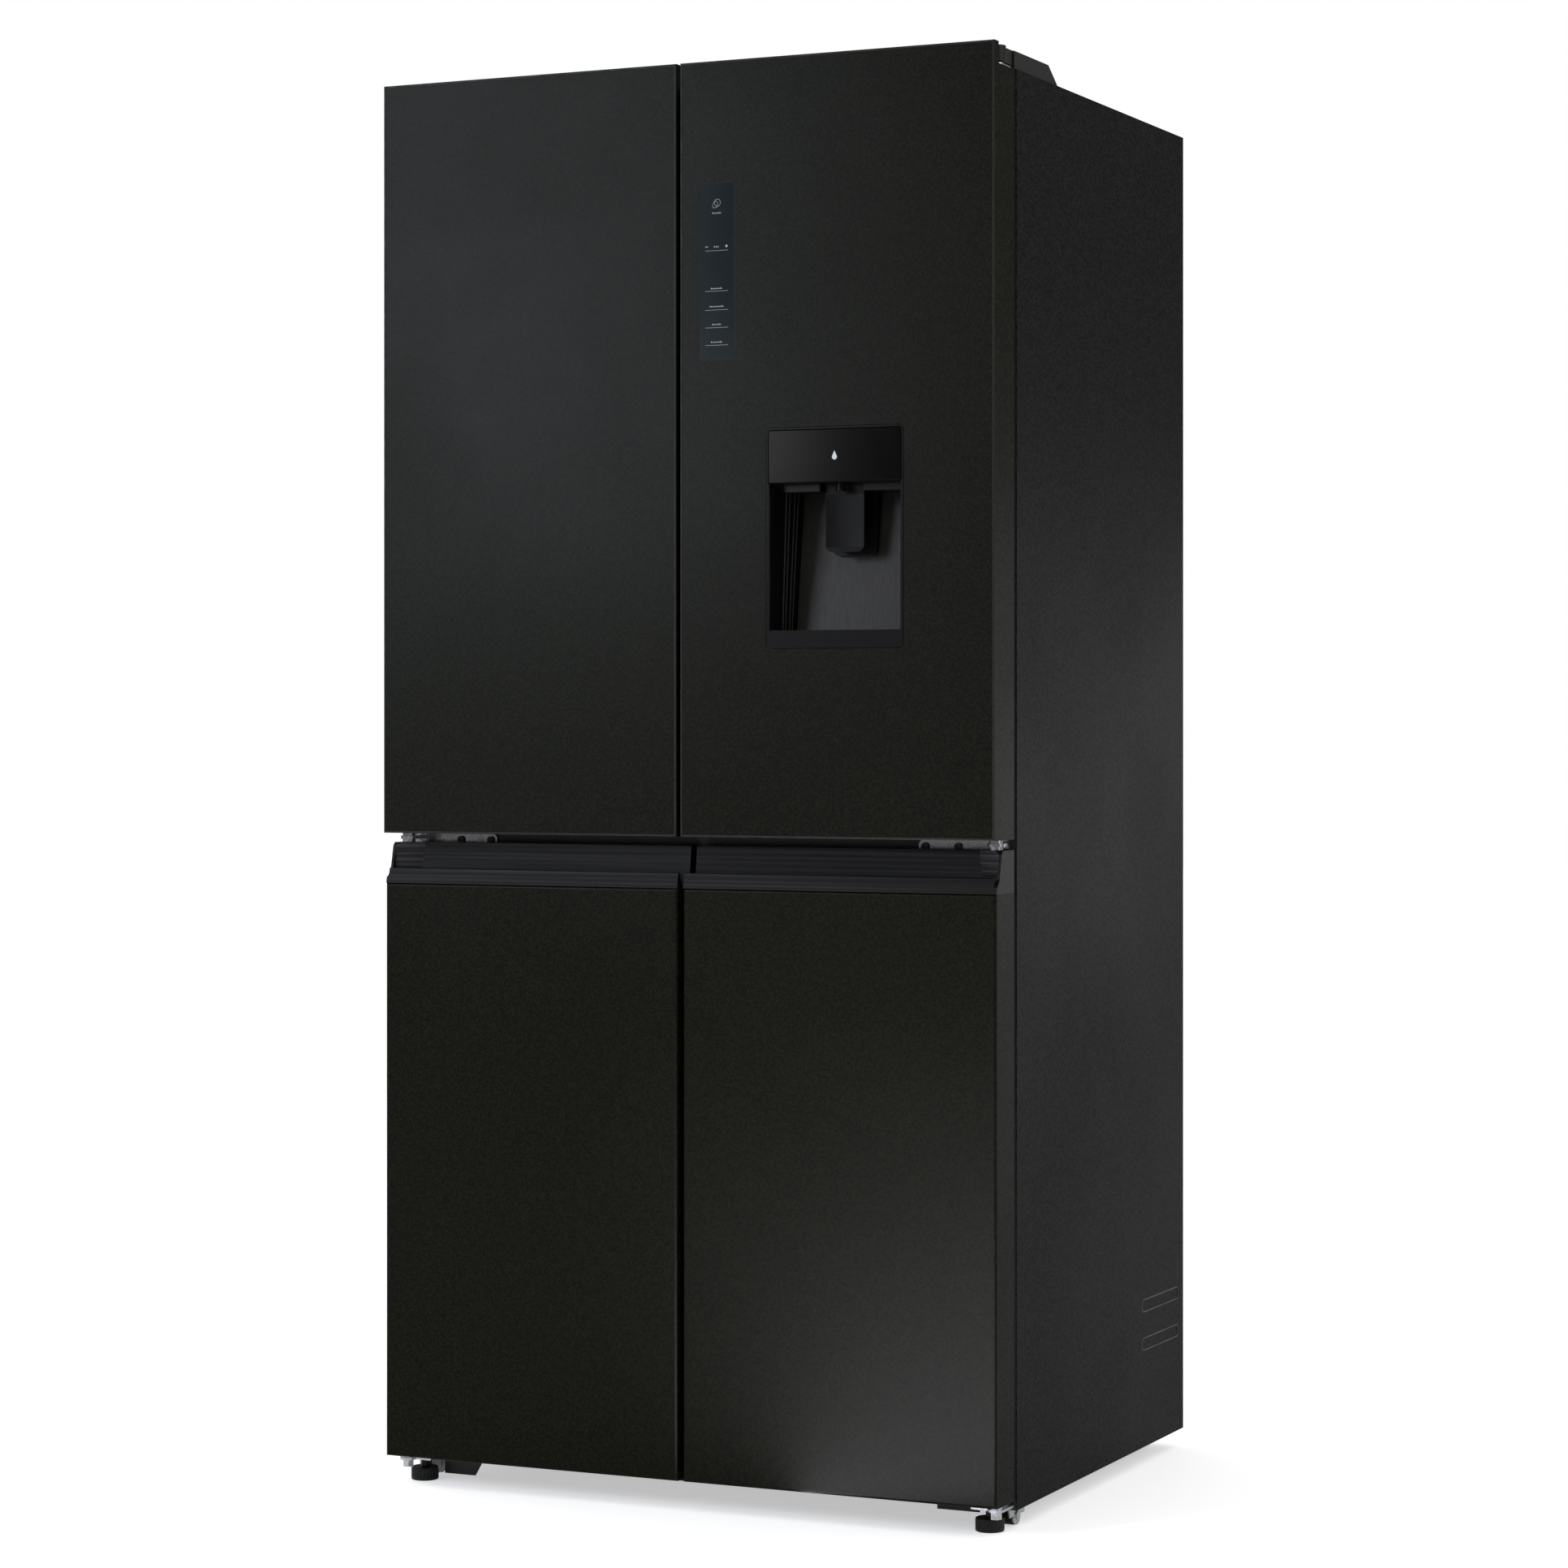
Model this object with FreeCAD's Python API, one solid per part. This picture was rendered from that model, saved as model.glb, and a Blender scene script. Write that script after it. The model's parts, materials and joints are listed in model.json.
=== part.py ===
import FreeCAD, Part
import math
import os
from FreeCAD import Vector

# Four-door refrigerator: two french doors over two side-hinged doors.
# Millimetres, +Z up, the doors face -Y, origin at the centre of the base on the floor.
# "u" is a distance from the cabinet's left side; right-hand pieces are mirrored ones.

os.makedirs("parts", exist_ok=True)

# ---- driving dimensions -------------------------------------------------
WIDTH = 833.0
DEPTH = 685.0
HEIGHT = 1775.0

FRONT = -DEPTH / 2              # front plane of the upper doors
BACK = DEPTH / 2
DOOR_THICK = 64.0
DOOR_SPACE = 72.4               # upper door front plane to cabinet front plane
CAB_FRONT = FRONT + DOOR_SPACE
DOOR_REAR = FRONT + DOOR_THICK
CAB_BOTTOM = 23.0
CAB_TOP = 1750.5
CASE_SHEET = 1.5
BACK_INSET = 3.0                # the rear sheets lie this far inside the case's rear edge
LINER_SHEET = 2.0
SIDE_WALL = 46.5                # case, foam and liner together
INNER_BACK = 282.0              # rear wall of the fridge compartment

UPPER_Z0 = 827.5
UPPER_BODY_Z1 = 1749.0          # behind its front slab an upper door is this high
UPPER_GAP = 5.5
SLAB_THICK = 14.0
LOWER_Z0 = 36.0
LOWER_SKIN_Z1 = 764.0
LOWER_Z1 = 815.0
LOWER_GAP = 8.0
LOWER_SETBACK = 5.0
LIP_Z = 783.0                   # top of the lip in front of the finger channel
CHANNEL_DEEP = 14.0
SKIN = 2.0
RIM_WIDTH = 2.6
RIM_DEPTH = 0.5

HINGE_U = 13.5                  # hinge axis from the cabinet's side
HINGE_Y = FRONT + 39.0
PIN_R = 4.5
BORE_R = PIN_R + 0.05

FRIDGE_Z = (872.0, 1698.0)      # inner floor and ceiling of the fridge compartment
LOWER_Z = (97.0, 773.0)         # the same for the two lower compartments
STEP_Z = 300.0                  # below this the lower compartments are shallower
STEP_Y = 100.0
LOWER_BACK = 240.0
POST_HALF = 26.0                # half the wall between the lower compartments
MACHINE_Y = 150.0
MACHINE_Z1 = 270.0

DYKE_U = (60.0, 378.0)
DYKE_WALL = 18.0
DYKE_RISE = 17.0
DRAWER_U0 = 85.5                # drawers clear the open door's dyke from here on
DRAWER_FRONT = FRONT + 128.0

FOOT_U = 28.0
FOOT_Y = FRONT + 56.0
FOOT_R = 17.5
MARK_Y = (FRONT + 520.0, FRONT + 666.0)           # two long shallow marks low on the right side
MARK_Z = (157.0, 207.0)
MARK_R = 8.5
ROLLER_WIDE = 14.0
FRONT_ROLLER = (13.0, FRONT + 99.0, 12.4, 12.0)   # u of its outer face, y, z, radius
REAR_ROLLER = (49.0, BACK - 45.0, 13.0, 13.0)
CHEEK_GAP = 1.0                 # between a roller and the cheeks on both sides of it
AXLE_R = 3.0
RUNNING = 0.05                  # radial clearance of a running fit

DISP_U = (117.2, 297.4)         # dispenser, from the right side
DISP_Z = (1057.6, 1324.0)
DISP_MID = sum(DISP_U) / 2
DISP_DEEP = 79.0                # the housing stands through the door's inner liner
RECESS_Z = (1079.0, 1257.0)
RECESS_DEEP = (50.0, 75.0)      # the recess's back wall leans: depth at its foot and its top
RECESS_MOUTH = 3.6              # the recess's side walls start this far inside the housing
RECESS_INSET = 18.2             # and end this far inside it at the back wall
SOFFIT_Z = 1247.5
STOP_U = (DISP_MID - 31.5, DISP_MID + 26.5)
STOP_Z = 1170.0
PADDLE_HALF = 25.5
PADDLE_Z = 1174.0
PADDLE_PIVOT = (FRONT + 35.0, 1264.0)
DISPLAY_U = (340.0, 389.3)
DISPLAY_Z = (1410.0, 1626.5)

TANK_U = (110.0, 310.0)
TANK_Y = (FRONT + 82.0, FRONT + 166.0)
TANK_Z = (1085.0, 1335.0)
LID_PIVOT = (FRONT + 87.5, 1342.0)

FLAP_PIVOT = (394.5, FRONT + 82.0)
FLAP_HALF = 9.0
FLAP_REACH = 41.0
FLAP_Z = (881.0, 1689.0)

SHELF_Z = (1076.0, 1240.0, 1400.0, 1560.0)
FAN_X = 20.0
FAN_Y = 245.0
FAN_Z = 135.0


# ---- shape helpers ------------------------------------------------------
def at(u):
    """x of a distance u from the cabinet's left side."""
    return u - WIDTH / 2


def box(x0, x1, y0, y1, z0, z1):
    return Part.makeBox(x1 - x0, y1 - y0, z1 - z0, Vector(x0, y0, z0))


def ubox(u0, u1, y0, y1, z0, z1):
    return box(at(u0), at(u1), y0, y1, z0, z1)


def rod(radius, start, end):
    along = Vector(*end) - Vector(*start)
    return Part.makeCylinder(radius, along.Length, Vector(*start), along)


def post(radius, u, y, z0, z1):
    return rod(radius, (at(u), y, z0), (at(u), y, z1))


def prism_x(outline, x0, x1):
    """An outline of (y, z) points, pushed along x."""
    corners = [Vector(x0, y, z) for y, z in outline]
    face = Part.Face(Part.makePolygon(corners + corners[:1]))
    return face.extrude(Vector(x1 - x0, 0, 0))


def prism_z(outline, z0, z1):
    """An outline of (x, y) points, pushed along z."""
    corners = [Vector(x, y, z0) for x, y in outline]
    face = Part.Face(Part.makePolygon(corners + corners[:1]))
    return face.extrude(Vector(0, 0, z1 - z0))


def fuse(first, *others):
    return first.multiFuse(list(others)).removeSplitter()


def mirror(shape):
    return shape.mirror(Vector(0, 0, 0), Vector(1, 0, 0))


def both(*shapes):
    return list(shapes) + [mirror(shape) for shape in shapes]


def rounded(shape, radius, keep, along=None):
    """Fillet the straight edges with both ends inside keep, and along one axis if it is named."""
    chosen = []
    for edge in shape.Edges:
        if len(edge.Vertexes) < 2 or not all(keep(vertex.Point) for vertex in edge.Vertexes):
            continue
        if along is None or abs(getattr(edge.tangentAt(edge.FirstParameter), along)) > 0.99:
            chosen.append(edge)
    return shape.makeFillet(radius, chosen)


def vertical_rounded(shape, radius):
    return rounded(shape, radius, lambda point: True, "z")


def ring(u0, u1, y0, y1, z0, z1, wall):
    """A rectangular frame that lies in the door's plane."""
    hole = ubox(u0 + wall, u1 - wall, y0 - 1, y1 + 1, z0 + wall, z1 - wall)
    return ubox(u0, u1, y0, y1, z0, z1).cut(hole)


def tray(u0, u1, y0, y1, z0, z1, wall, front_wall, radius=6.0):
    """A drawer or bin: open on top, with a thicker front."""
    outside = vertical_rounded(ubox(u0, u1, y0, y1, z0, z1), radius)
    inside = ubox(u0 + wall, u1 - wall, y0 + front_wall, y1 - wall, z0 + wall, z1 + 1)
    return outside.cut(vertical_rounded(inside, radius - wall + 1))


def write(node, *solids):
    Part.makeCompound(list(solids)).exportStep("parts/%s.step" % node)


# ---- cabinet ------------------------------------------------------------
def outer_case():
    block = box(-WIDTH / 2, WIDTH / 2, CAB_FRONT, BACK, CAB_BOTTOM, CAB_TOP)
    block = rounded(block, 1.2, lambda p: abs(p.y - CAB_FRONT) < 0.1, "z")
    half = WIDTH / 2 - CASE_SHEET
    case = block.cut(box(-half, half, CAB_FRONT - 1, BACK + 1, CAB_BOTTOM - 1, CAB_TOP - CASE_SHEET))
    depth = 0.6
    side = WIDTH / 2
    ends = (MARK_Y[0] + MARK_R, MARK_Y[1] - MARK_R)
    for middle in MARK_Z:
        mark = box(side - depth, side + 1, *ends, middle - MARK_R, middle + MARK_R)
        for y in ends:
            mark = mark.fuse(rod(MARK_R, (side - depth, y, middle), (side + 1, y, middle)))
        case = case.cut(mark)
    write("outer_case", case)


def fridge_space(grow):
    return box(at(SIDE_WALL + LINER_SHEET) - grow, -at(SIDE_WALL + LINER_SHEET) + grow,
               CAB_FRONT - 1, INNER_BACK + grow, FRIDGE_Z[0] - grow, FRIDGE_Z[1] + grow)


def lower_space(grow):
    """The left lower compartment: its floor part is shallow, over the machine room."""
    x0 = at(SIDE_WALL + LINER_SHEET) - grow
    x1 = -POST_HALF - LINER_SHEET + grow
    low = box(x0, x1, CAB_FRONT - 1, STEP_Y + grow, LOWER_Z[0] - grow, LOWER_Z[1] + grow)
    high = box(x0, x1, CAB_FRONT - 1, LOWER_BACK + grow, STEP_Z - grow, LOWER_Z[1] + grow)
    return fuse(low, high)


def cabinet_core():
    rail_rear = CAB_FRONT + CASE_SHEET
    half = WIDTH / 2 - CASE_SHEET
    sheet_back = BACK - BACK_INSET
    foam_back = sheet_back - CASE_SHEET
    foam = box(-half, half, rail_rear, foam_back, CAB_BOTTOM + 2, CAB_TOP - CASE_SHEET)
    machine = box(-half - 1, half + 1, MACHINE_Y, BACK, CAB_BOTTOM, MACHINE_Z1)
    foam = foam.cut(machine).cut(fridge_space(LINER_SHEET))
    for space in both(lower_space(LINER_SHEET)):
        foam = foam.cut(space)
    write("insulation", foam)

    shallow = box(-WIDTH, WIDTH, rail_rear, BACK, 0, HEIGHT)
    liner = fridge_space(LINER_SHEET).cut(fridge_space(0)).common(shallow)
    for shelf in SHELF_Z:
        ledge = ubox(SIDE_WALL + LINER_SHEET - 0.5, 60.5, FRONT + 196, INNER_BACK - 30, shelf - 8, shelf)
        liner = fuse(liner, *both(ledge))
    write("fridge_liner", liner)
    lower = lower_space(LINER_SHEET).cut(lower_space(0)).common(shallow)
    write("lower_liners", *both(lower))

    rails = box(-half, half, CAB_FRONT, rail_rear, CAB_BOTTOM + 2, CAB_TOP - CASE_SHEET)
    rails = rails.cut(fridge_space(0))
    for space in both(lower_space(0)):
        rails = rails.cut(space)
    write("front_rails", rails)

    panel = box(-half, half, foam_back, sheet_back, MACHINE_Z1, CAB_TOP - CASE_SHEET)
    write("rear_panel", panel)


def base_tray():
    half = WIDTH / 2 - CASE_SHEET
    pieces = [box(-half, half, CAB_FRONT, BACK - BACK_INSET, CAB_BOTTOM, CAB_BOTTOM + 2)]
    tab = [(at(48), 25.0), (at(48), 6.0), (at(92), 6.0), (at(103), 25.0)]
    corners = [Vector(x, CAB_FRONT, z) for x, z in tab]
    face = Part.Face(Part.makePolygon(corners + corners[:1]))
    pieces.append(face.extrude(Vector(0, 2, 0)))
    pieces.append(box(-at(103), -at(48), CAB_FRONT, CAB_FRONT + 2, 17, 25))
    start, y, z, _ = REAR_ROLLER
    for u in (start - CHEEK_GAP - 2, start + ROLLER_WIDE + CHEEK_GAP):
        ear = fuse(ubox(u, u + 2, y - 12, y + 12, z, CAB_BOTTOM + 1),
                   rod(12, (at(u), y, z), (at(u + 2), y, z)))
        ear = ear.common(ubox(u, u + 2, y - 12, y + 12, 2, CAB_BOTTOM + 1))
        pieces += both(ear)
    pieces += both(rod(AXLE_R, (at(start - 4), y, z), (at(start + ROLLER_WIDE + 4), y, z)))
    tray_solid = fuse(*pieces)
    for u, wheel_y, _, _ in (FRONT_ROLLER, REAR_ROLLER):
        well = ubox(u - CHEEK_GAP, u + ROLLER_WIDE + CHEEK_GAP, wheel_y - 14, wheel_y + 14,
                    CAB_BOTTOM - 1, CAB_BOTTOM + 3)
        for side in both(well):
            tray_solid = tray_solid.cut(side)
    write("base_tray", tray_solid)


def rollers():
    for place, (u, y, z, radius) in (("front", FRONT_ROLLER), ("rear", REAR_ROLLER)):
        wheel = rod(radius, (at(u), y, z), (at(u + ROLLER_WIDE), y, z))
        rims = [e for e in wheel.Edges if len(e.Vertexes) == 1]
        wheel = wheel.makeFillet(1.5, rims)
        wheel = wheel.cut(rod(AXLE_R + RUNNING, (at(u - 1), y, z), (at(u + ROLLER_WIDE + 1), y, z)))
        write("roller_%s_left" % place, wheel)
        write("roller_%s_right" % place, mirror(wheel))


def feet():
    knob = post(FOOT_R, FOOT_U, FOOT_Y, 0, 16)
    knob = knob.makeFillet(1.5, [e for e in knob.Edges if len(e.Vertexes) == 1])
    grooves = 24
    for index in range(grooves):
        turn = 2 * math.pi * index / grooves
        u = FOOT_U + (FOOT_R + 0.6) * math.cos(turn)
        y = FOOT_Y + (FOOT_R + 0.6) * math.sin(turn)
        knob = knob.cut(post(1.4, u, y, 4, 17))
    foot = fuse(knob, post(5.0, FOOT_U, FOOT_Y, 15, 34))
    write("foot_left", foot)
    write("foot_right", mirror(foot))


# ---- hinges -------------------------------------------------------------
def hex_bar(u, y, across, z0, z1):
    radius = across / math.sqrt(3)
    points = []
    for index in range(6):
        turn = math.pi / 3 * index
        points.append((at(u) + radius * math.cos(turn), y + radius * math.sin(turn)))
    return prism_z(points, z0, z1)


def hinges():
    plate_front = CAB_FRONT - 3
    # top: a plate under the cover, with an eye that holds the pin
    top = fuse(vertical_rounded(ubox(6, 80, CAB_FRONT + 4, CAB_FRONT + 110, CAB_TOP, CAB_TOP + 3), 8),
               ubox(6, 23, HINGE_Y, CAB_FRONT + 10, CAB_TOP, CAB_TOP + 3),
               post(9.5, HINGE_U, HINGE_Y, CAB_TOP, CAB_TOP + 3),
               post(PIN_R, HINGE_U, HINGE_Y, UPPER_BODY_Z1 - 14, CAB_TOP + 3.5))
    write("top_hinges", *both(top))

    # middle: a front plate, an arm and a pin that serves both doors
    mid_z = 819.0
    plate = box(at(10), at(126), plate_front, CAB_FRONT, 810, 826)
    plate = rounded(plate, 7.5, lambda p: p.x > at(125), "y")
    middle = fuse(plate, ubox(7, 27, plate_front, CAB_FRONT, 812, 834),
                  ubox(7, 25, HINGE_Y, CAB_FRONT - 1, mid_z, mid_z + 4),
                  post(10.5, HINGE_U, HINGE_Y, mid_z, mid_z + 4),
                  post(8.0, HINGE_U, HINGE_Y, mid_z + 3, UPPER_Z0 - 0.6),
                  post(8.0, HINGE_U, HINGE_Y, LOWER_Z1 + 0.6, mid_z + 1),
                  post(PIN_R, HINGE_U, HINGE_Y, LOWER_Z1 - 12, UPPER_Z0 + 13))
    write("mid_hinges", *both(middle))

    # bottom: an arm that also carries the foot, with a roller fork behind it
    arm_z = 27.0
    fork_u, fork_y, fork_z, _ = FRONT_ROLLER
    fork_u1 = fork_u + ROLLER_WIDE + CHEEK_GAP
    solids = [ubox(3, 46, HINGE_Y, CAB_FRONT, arm_z, arm_z + 3),
              post(10.5, HINGE_U, HINGE_Y, arm_z, arm_z + 3),
              ubox(8, 110, plate_front, CAB_FRONT, arm_z, 56),
              post(8.0, HINGE_U, HINGE_Y, arm_z + 2, LOWER_Z0 - 0.6),
              hex_bar(HINGE_U, HINGE_Y, 13.0, 18, arm_z + 1),
              post(PIN_R, HINGE_U, HINGE_Y, 19, LOWER_Z0 + 14)]
    bottom = fuse(*solids).cut(post(5.0 + RUNNING, FOOT_U, FOOT_Y, 20, 40))
    fork = []
    for u in (fork_u - CHEEK_GAP - 2, fork_u1):
        cheek = fuse(ubox(u, u + 2, fork_y - 25, fork_y + 25, fork_z, CAB_BOTTOM),
                     rod(11.5, (at(u), fork_y, fork_z), (at(u + 2), fork_y, fork_z)))
        fork.append(cheek.common(ubox(u, u + 2, fork_y - 25, fork_y + 25, 0, CAB_BOTTOM)))
    fork.append(ubox(fork_u - 3, fork_u1 + 2, fork_y - 25, fork_y + 25, CAB_BOTTOM - 1.5, CAB_BOTTOM).cut(
        ubox(fork_u - 1, fork_u1, fork_y - 15, fork_y + 15, CAB_BOTTOM - 2, CAB_BOTTOM + 1)))
    fork.append(rod(AXLE_R, (at(fork_u - 4), fork_y, fork_z), (at(fork_u1 + 3), fork_y, fork_z)))
    fork.append(rod(5.0, (at(fork_u - 4.8), fork_y, fork_z), (at(fork_u - 3), fork_y, fork_z)))
    write("bottom_hinges", *both(bottom, fuse(*fork)))


def hinge_covers():
    high = HEIGHT - 2.0
    u0, u1 = 3.5, 88.0

    def hood(grow):
        outline = [(CAB_FRONT + 0.6 - grow, CAB_TOP - 1), (CAB_FRONT + 0.6 - grow, high + grow),
                   (FRONT + 188 + grow, high + grow), (FRONT + 218 + grow, CAB_TOP + 2.5 + grow),
                   (FRONT + 218 + grow, CAB_TOP - 1)]
        return prism_x(outline, at(u0 - grow), at(u1 + grow))

    over_case = box(-WIDTH, WIDTH, FRONT, BACK, CAB_TOP, HEIGHT)
    cover = hood(0).cut(hood(-2)).common(over_case)
    nose_z = CAB_TOP + 4.4
    nose = fuse(post(12.0, HINGE_U, HINGE_Y, nose_z, HEIGHT - 1),
                ubox(5.5, 25, HINGE_Y, CAB_FRONT + 1.6, nose_z, high))
    cover = fuse(cover, nose).cut(ubox(5, 24, CAB_FRONT - 1, CAB_FRONT + 4, CAB_TOP - 1, CAB_TOP + 3.4))
    write("hinge_covers", *both(cover))


def screws():
    def screw(u, y_head, z, radius):
        head = rod(radius, (at(u), y_head - 3, z), (at(u), y_head, z))
        head = head.makeFillet(0.8, [head.Edges[0]])
        slot = ubox(u - radius * 0.6, u + radius * 0.6, y_head - 4, y_head - 2.2, z - 0.7, z + 0.7)
        cross = ubox(u - 0.7, u + 0.7, y_head - 4, y_head - 2.2, z - radius * 0.6, z + radius * 0.6)
        return head.cut(slot).cut(cross)

    heads = []
    for u, z in ((74, 818), (117, 818), (66, 42), (98, 42)):
        heads += both(screw(u, CAB_FRONT - 3, z, 4.6))
    write("screws", *heads)


# ---- doors (built as left-hand doors) ------------------------------------
def door_solids(top_is_slab):
    """The outer block of a door and the core that fills its skin."""
    if top_is_slab:
        width = (WIDTH - UPPER_GAP) / 2
        block = fuse(ubox(0, width, FRONT, DOOR_REAR, UPPER_Z0, UPPER_BODY_Z1),
                     ubox(0, width, FRONT, FRONT + SLAB_THICK, UPPER_Z0, HEIGHT))
        core = fuse(ubox(SKIN, width - SKIN, FRONT + SKIN, DOOR_REAR, UPPER_Z0 + SKIN, UPPER_BODY_Z1 - SKIN),
                    ubox(SKIN, width - SKIN, FRONT + SKIN, FRONT + SLAB_THICK - SKIN,
                         UPPER_Z0 + SKIN, HEIGHT - SKIN))
        block = rounded(block, 1.0, lambda p: abs(p.y - FRONT) < 0.1)
        plate = ubox(RIM_WIDTH, width - RIM_WIDTH, FRONT - 1, FRONT + RIM_DEPTH,
                     UPPER_Z0 + RIM_WIDTH, HEIGHT - RIM_WIDTH)
        block = block.cut(plate)
        bores = [post(BORE_R, HINGE_U, HINGE_Y, UPPER_Z0 - 1, UPPER_Z0 + 15),
                 post(BORE_R, HINGE_U, HINGE_Y, UPPER_BODY_Z1 - 16, UPPER_BODY_Z1 + 1)]
    else:
        width = (WIDTH - LOWER_GAP) / 2
        front = FRONT + LOWER_SETBACK
        block = ubox(0, width, front, DOOR_REAR, LOWER_Z0, LOWER_SKIN_Z1)
        block = rounded(block, 3.5, lambda p: abs(p.y - front) < 0.1 and
                        (p.x < at(0.1) or p.x > at(width - 0.1)))
        core = ubox(SKIN, width - SKIN, front + SKIN, DOOR_REAR, LOWER_Z0 + SKIN, LOWER_SKIN_Z1 - SKIN)
        bores = [post(BORE_R, HINGE_U, HINGE_Y, LOWER_Z0 - 1, LOWER_Z0 + 16)]
    for bore in bores:
        block = block.cut(bore)
        core = core.cut(bore)
    return width, block, core


def door_seal(width, z0, z1):
    """Gasket: a wide base against the door and a narrower bulb against the cabinet."""
    u0, u1 = 20.0, width - 6.0
    base = ring(u0, u1, DOOR_REAR, DOOR_REAR + 3, z0, z1, 16)
    bulb = ring(u0 + 3.5, u1 - 3.5, DOOR_REAR + 2, CAB_FRONT - 0.5, z0 + 3.5, z1 - 3.5, 9)
    return fuse(base, bulb)


def door_inner(core, z0, z1):
    dyke = ring(DYKE_U[0], DYKE_U[1], DOOR_REAR - 1, DOOR_REAR + DYKE_RISE, z0, z1, DYKE_WALL)
    return fuse(core, dyke)


def door_bins(levels, height):
    u0 = DYKE_U[0] + DYKE_WALL + 1
    u1 = DYKE_U[1] - DYKE_WALL - 1
    return [tray(u0, u1, DOOR_REAR + 2, FRONT + 168, z, z + height, 3.0, 3.0) for z in levels]


def upper_doors():
    dyke_z = (FRIDGE_Z[0] + 15, FRIDGE_Z[1] - 15)
    width, block, core = door_solids(True)
    seal = door_seal(width, 845, 1728)
    skin = block.cut(core)

    # left door: the folding mullion's two brackets are moulded in one with the liner
    inner = door_inner(core, *dyke_z)
    flap_u, flap_y = FLAP_PIVOT
    brackets = []
    for tip, root, end in ((FLAP_Z[0] - 2, 1, FLAP_Z[0] + 10), (FLAP_Z[1] + 2, -1, FLAP_Z[1] - 10)):
        z = sorted((tip, tip - root * 5))
        lug = sorted((tip - root * 5, tip + root * 16))
        brackets += [ubox(366, 384, DOOR_REAR - 1, flap_y + 9, *lug),
                     ubox(366, flap_u + 8, CAB_FRONT + 0.6, flap_y + 9, *z),
                     post(3.0, flap_u, flap_y, *sorted((tip, end)))]
    write("upper_left_panel", skin)
    write("upper_left_inner", fuse(inner, *brackets))
    write("upper_left_gasket", seal)
    write("upper_left_bins", *door_bins((1100, 1290, 1480), 100))

    flap = fuse(post(FLAP_HALF, flap_u, flap_y, *FLAP_Z),
                ubox(flap_u - FLAP_HALF, flap_u + FLAP_HALF, flap_y, flap_y + FLAP_REACH, *FLAP_Z))
    for z0, z1 in ((FLAP_Z[0] - 1, FLAP_Z[0] + 12), (FLAP_Z[1] - 12, FLAP_Z[1] + 1)):
        flap = flap.cut(post(3.0 + RUNNING, flap_u, flap_y, z0, z1))
    write("mullion_flap", flap)

    # right door: openings for the dispenser and the display
    gap = 0.7
    hole = ubox(DISP_U[0] - gap, DISP_U[1] + gap, FRONT - 1, FRONT + DISP_DEEP,
                DISP_Z[0] - gap, DISP_Z[1] + gap)
    hole = rounded(hole, 5.0 + gap, lambda p: True, "y")
    pocket = ubox(DISPLAY_U[0], DISPLAY_U[1], FRONT - 1, FRONT + 3.5, *DISPLAY_Z)
    pocket = rounded(pocket, 4.0, lambda p: True, "y")
    write("upper_right_panel", mirror(skin.cut(hole).cut(pocket)))
    write("upper_right_inner", mirror(door_inner(core, *dyke_z).cut(hole).cut(pocket)))
    write("upper_right_gasket", mirror(seal))
    write("upper_right_bins", *[mirror(b) for b in door_bins((1440, 1560), 90)])
    slab = pocket.common(ubox(0, WIDTH, FRONT + 0.9, FRONT + 3.5, 0, HEIGHT))
    write("control_display", mirror(slab))
    dispenser()
    water_tank()


def recess_space(u0, u1, front):
    """The glass recess: tapered cheeks and a back wall that leans away towards the top."""
    mouth, inset = RECESS_MOUTH, RECESS_INSET
    wires = []
    for z, deep in zip(RECESS_Z, RECESS_DEEP):
        outline = [(u0 + mouth, front - 1), (u0 + mouth, front + 1), (u0 + inset, FRONT + deep),
                   (u1 - inset, FRONT + deep), (u1 - mouth, front + 1), (u1 - mouth, front - 1)]
        corners = [Vector(at(u), y, z) for u, y in outline]
        wires.append(Part.makePolygon(corners + corners[:1]))
    return Part.makeLoft(wires, True, True)


def cheek_ribs(u0, u1, front):
    """Upright ribs on both cheeks of the recess, leaning back as the cheeks do."""
    radius = 1.5
    ribs = []
    for share in (0.48, 0.58, 0.72, 0.82):
        u = u0 + RECESS_MOUTH + (RECESS_INSET - RECESS_MOUTH) * share
        foot, head = (front + 1 + (deep - 1.6) * share for deep in RECESS_DEEP)
        for place in (u, u0 + u1 - u):
            ribs.append(rod(radius, (at(place), foot, RECESS_Z[0] - 0.5), (at(place), head, RECESS_Z[1] - 1)))
    return ribs


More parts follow.
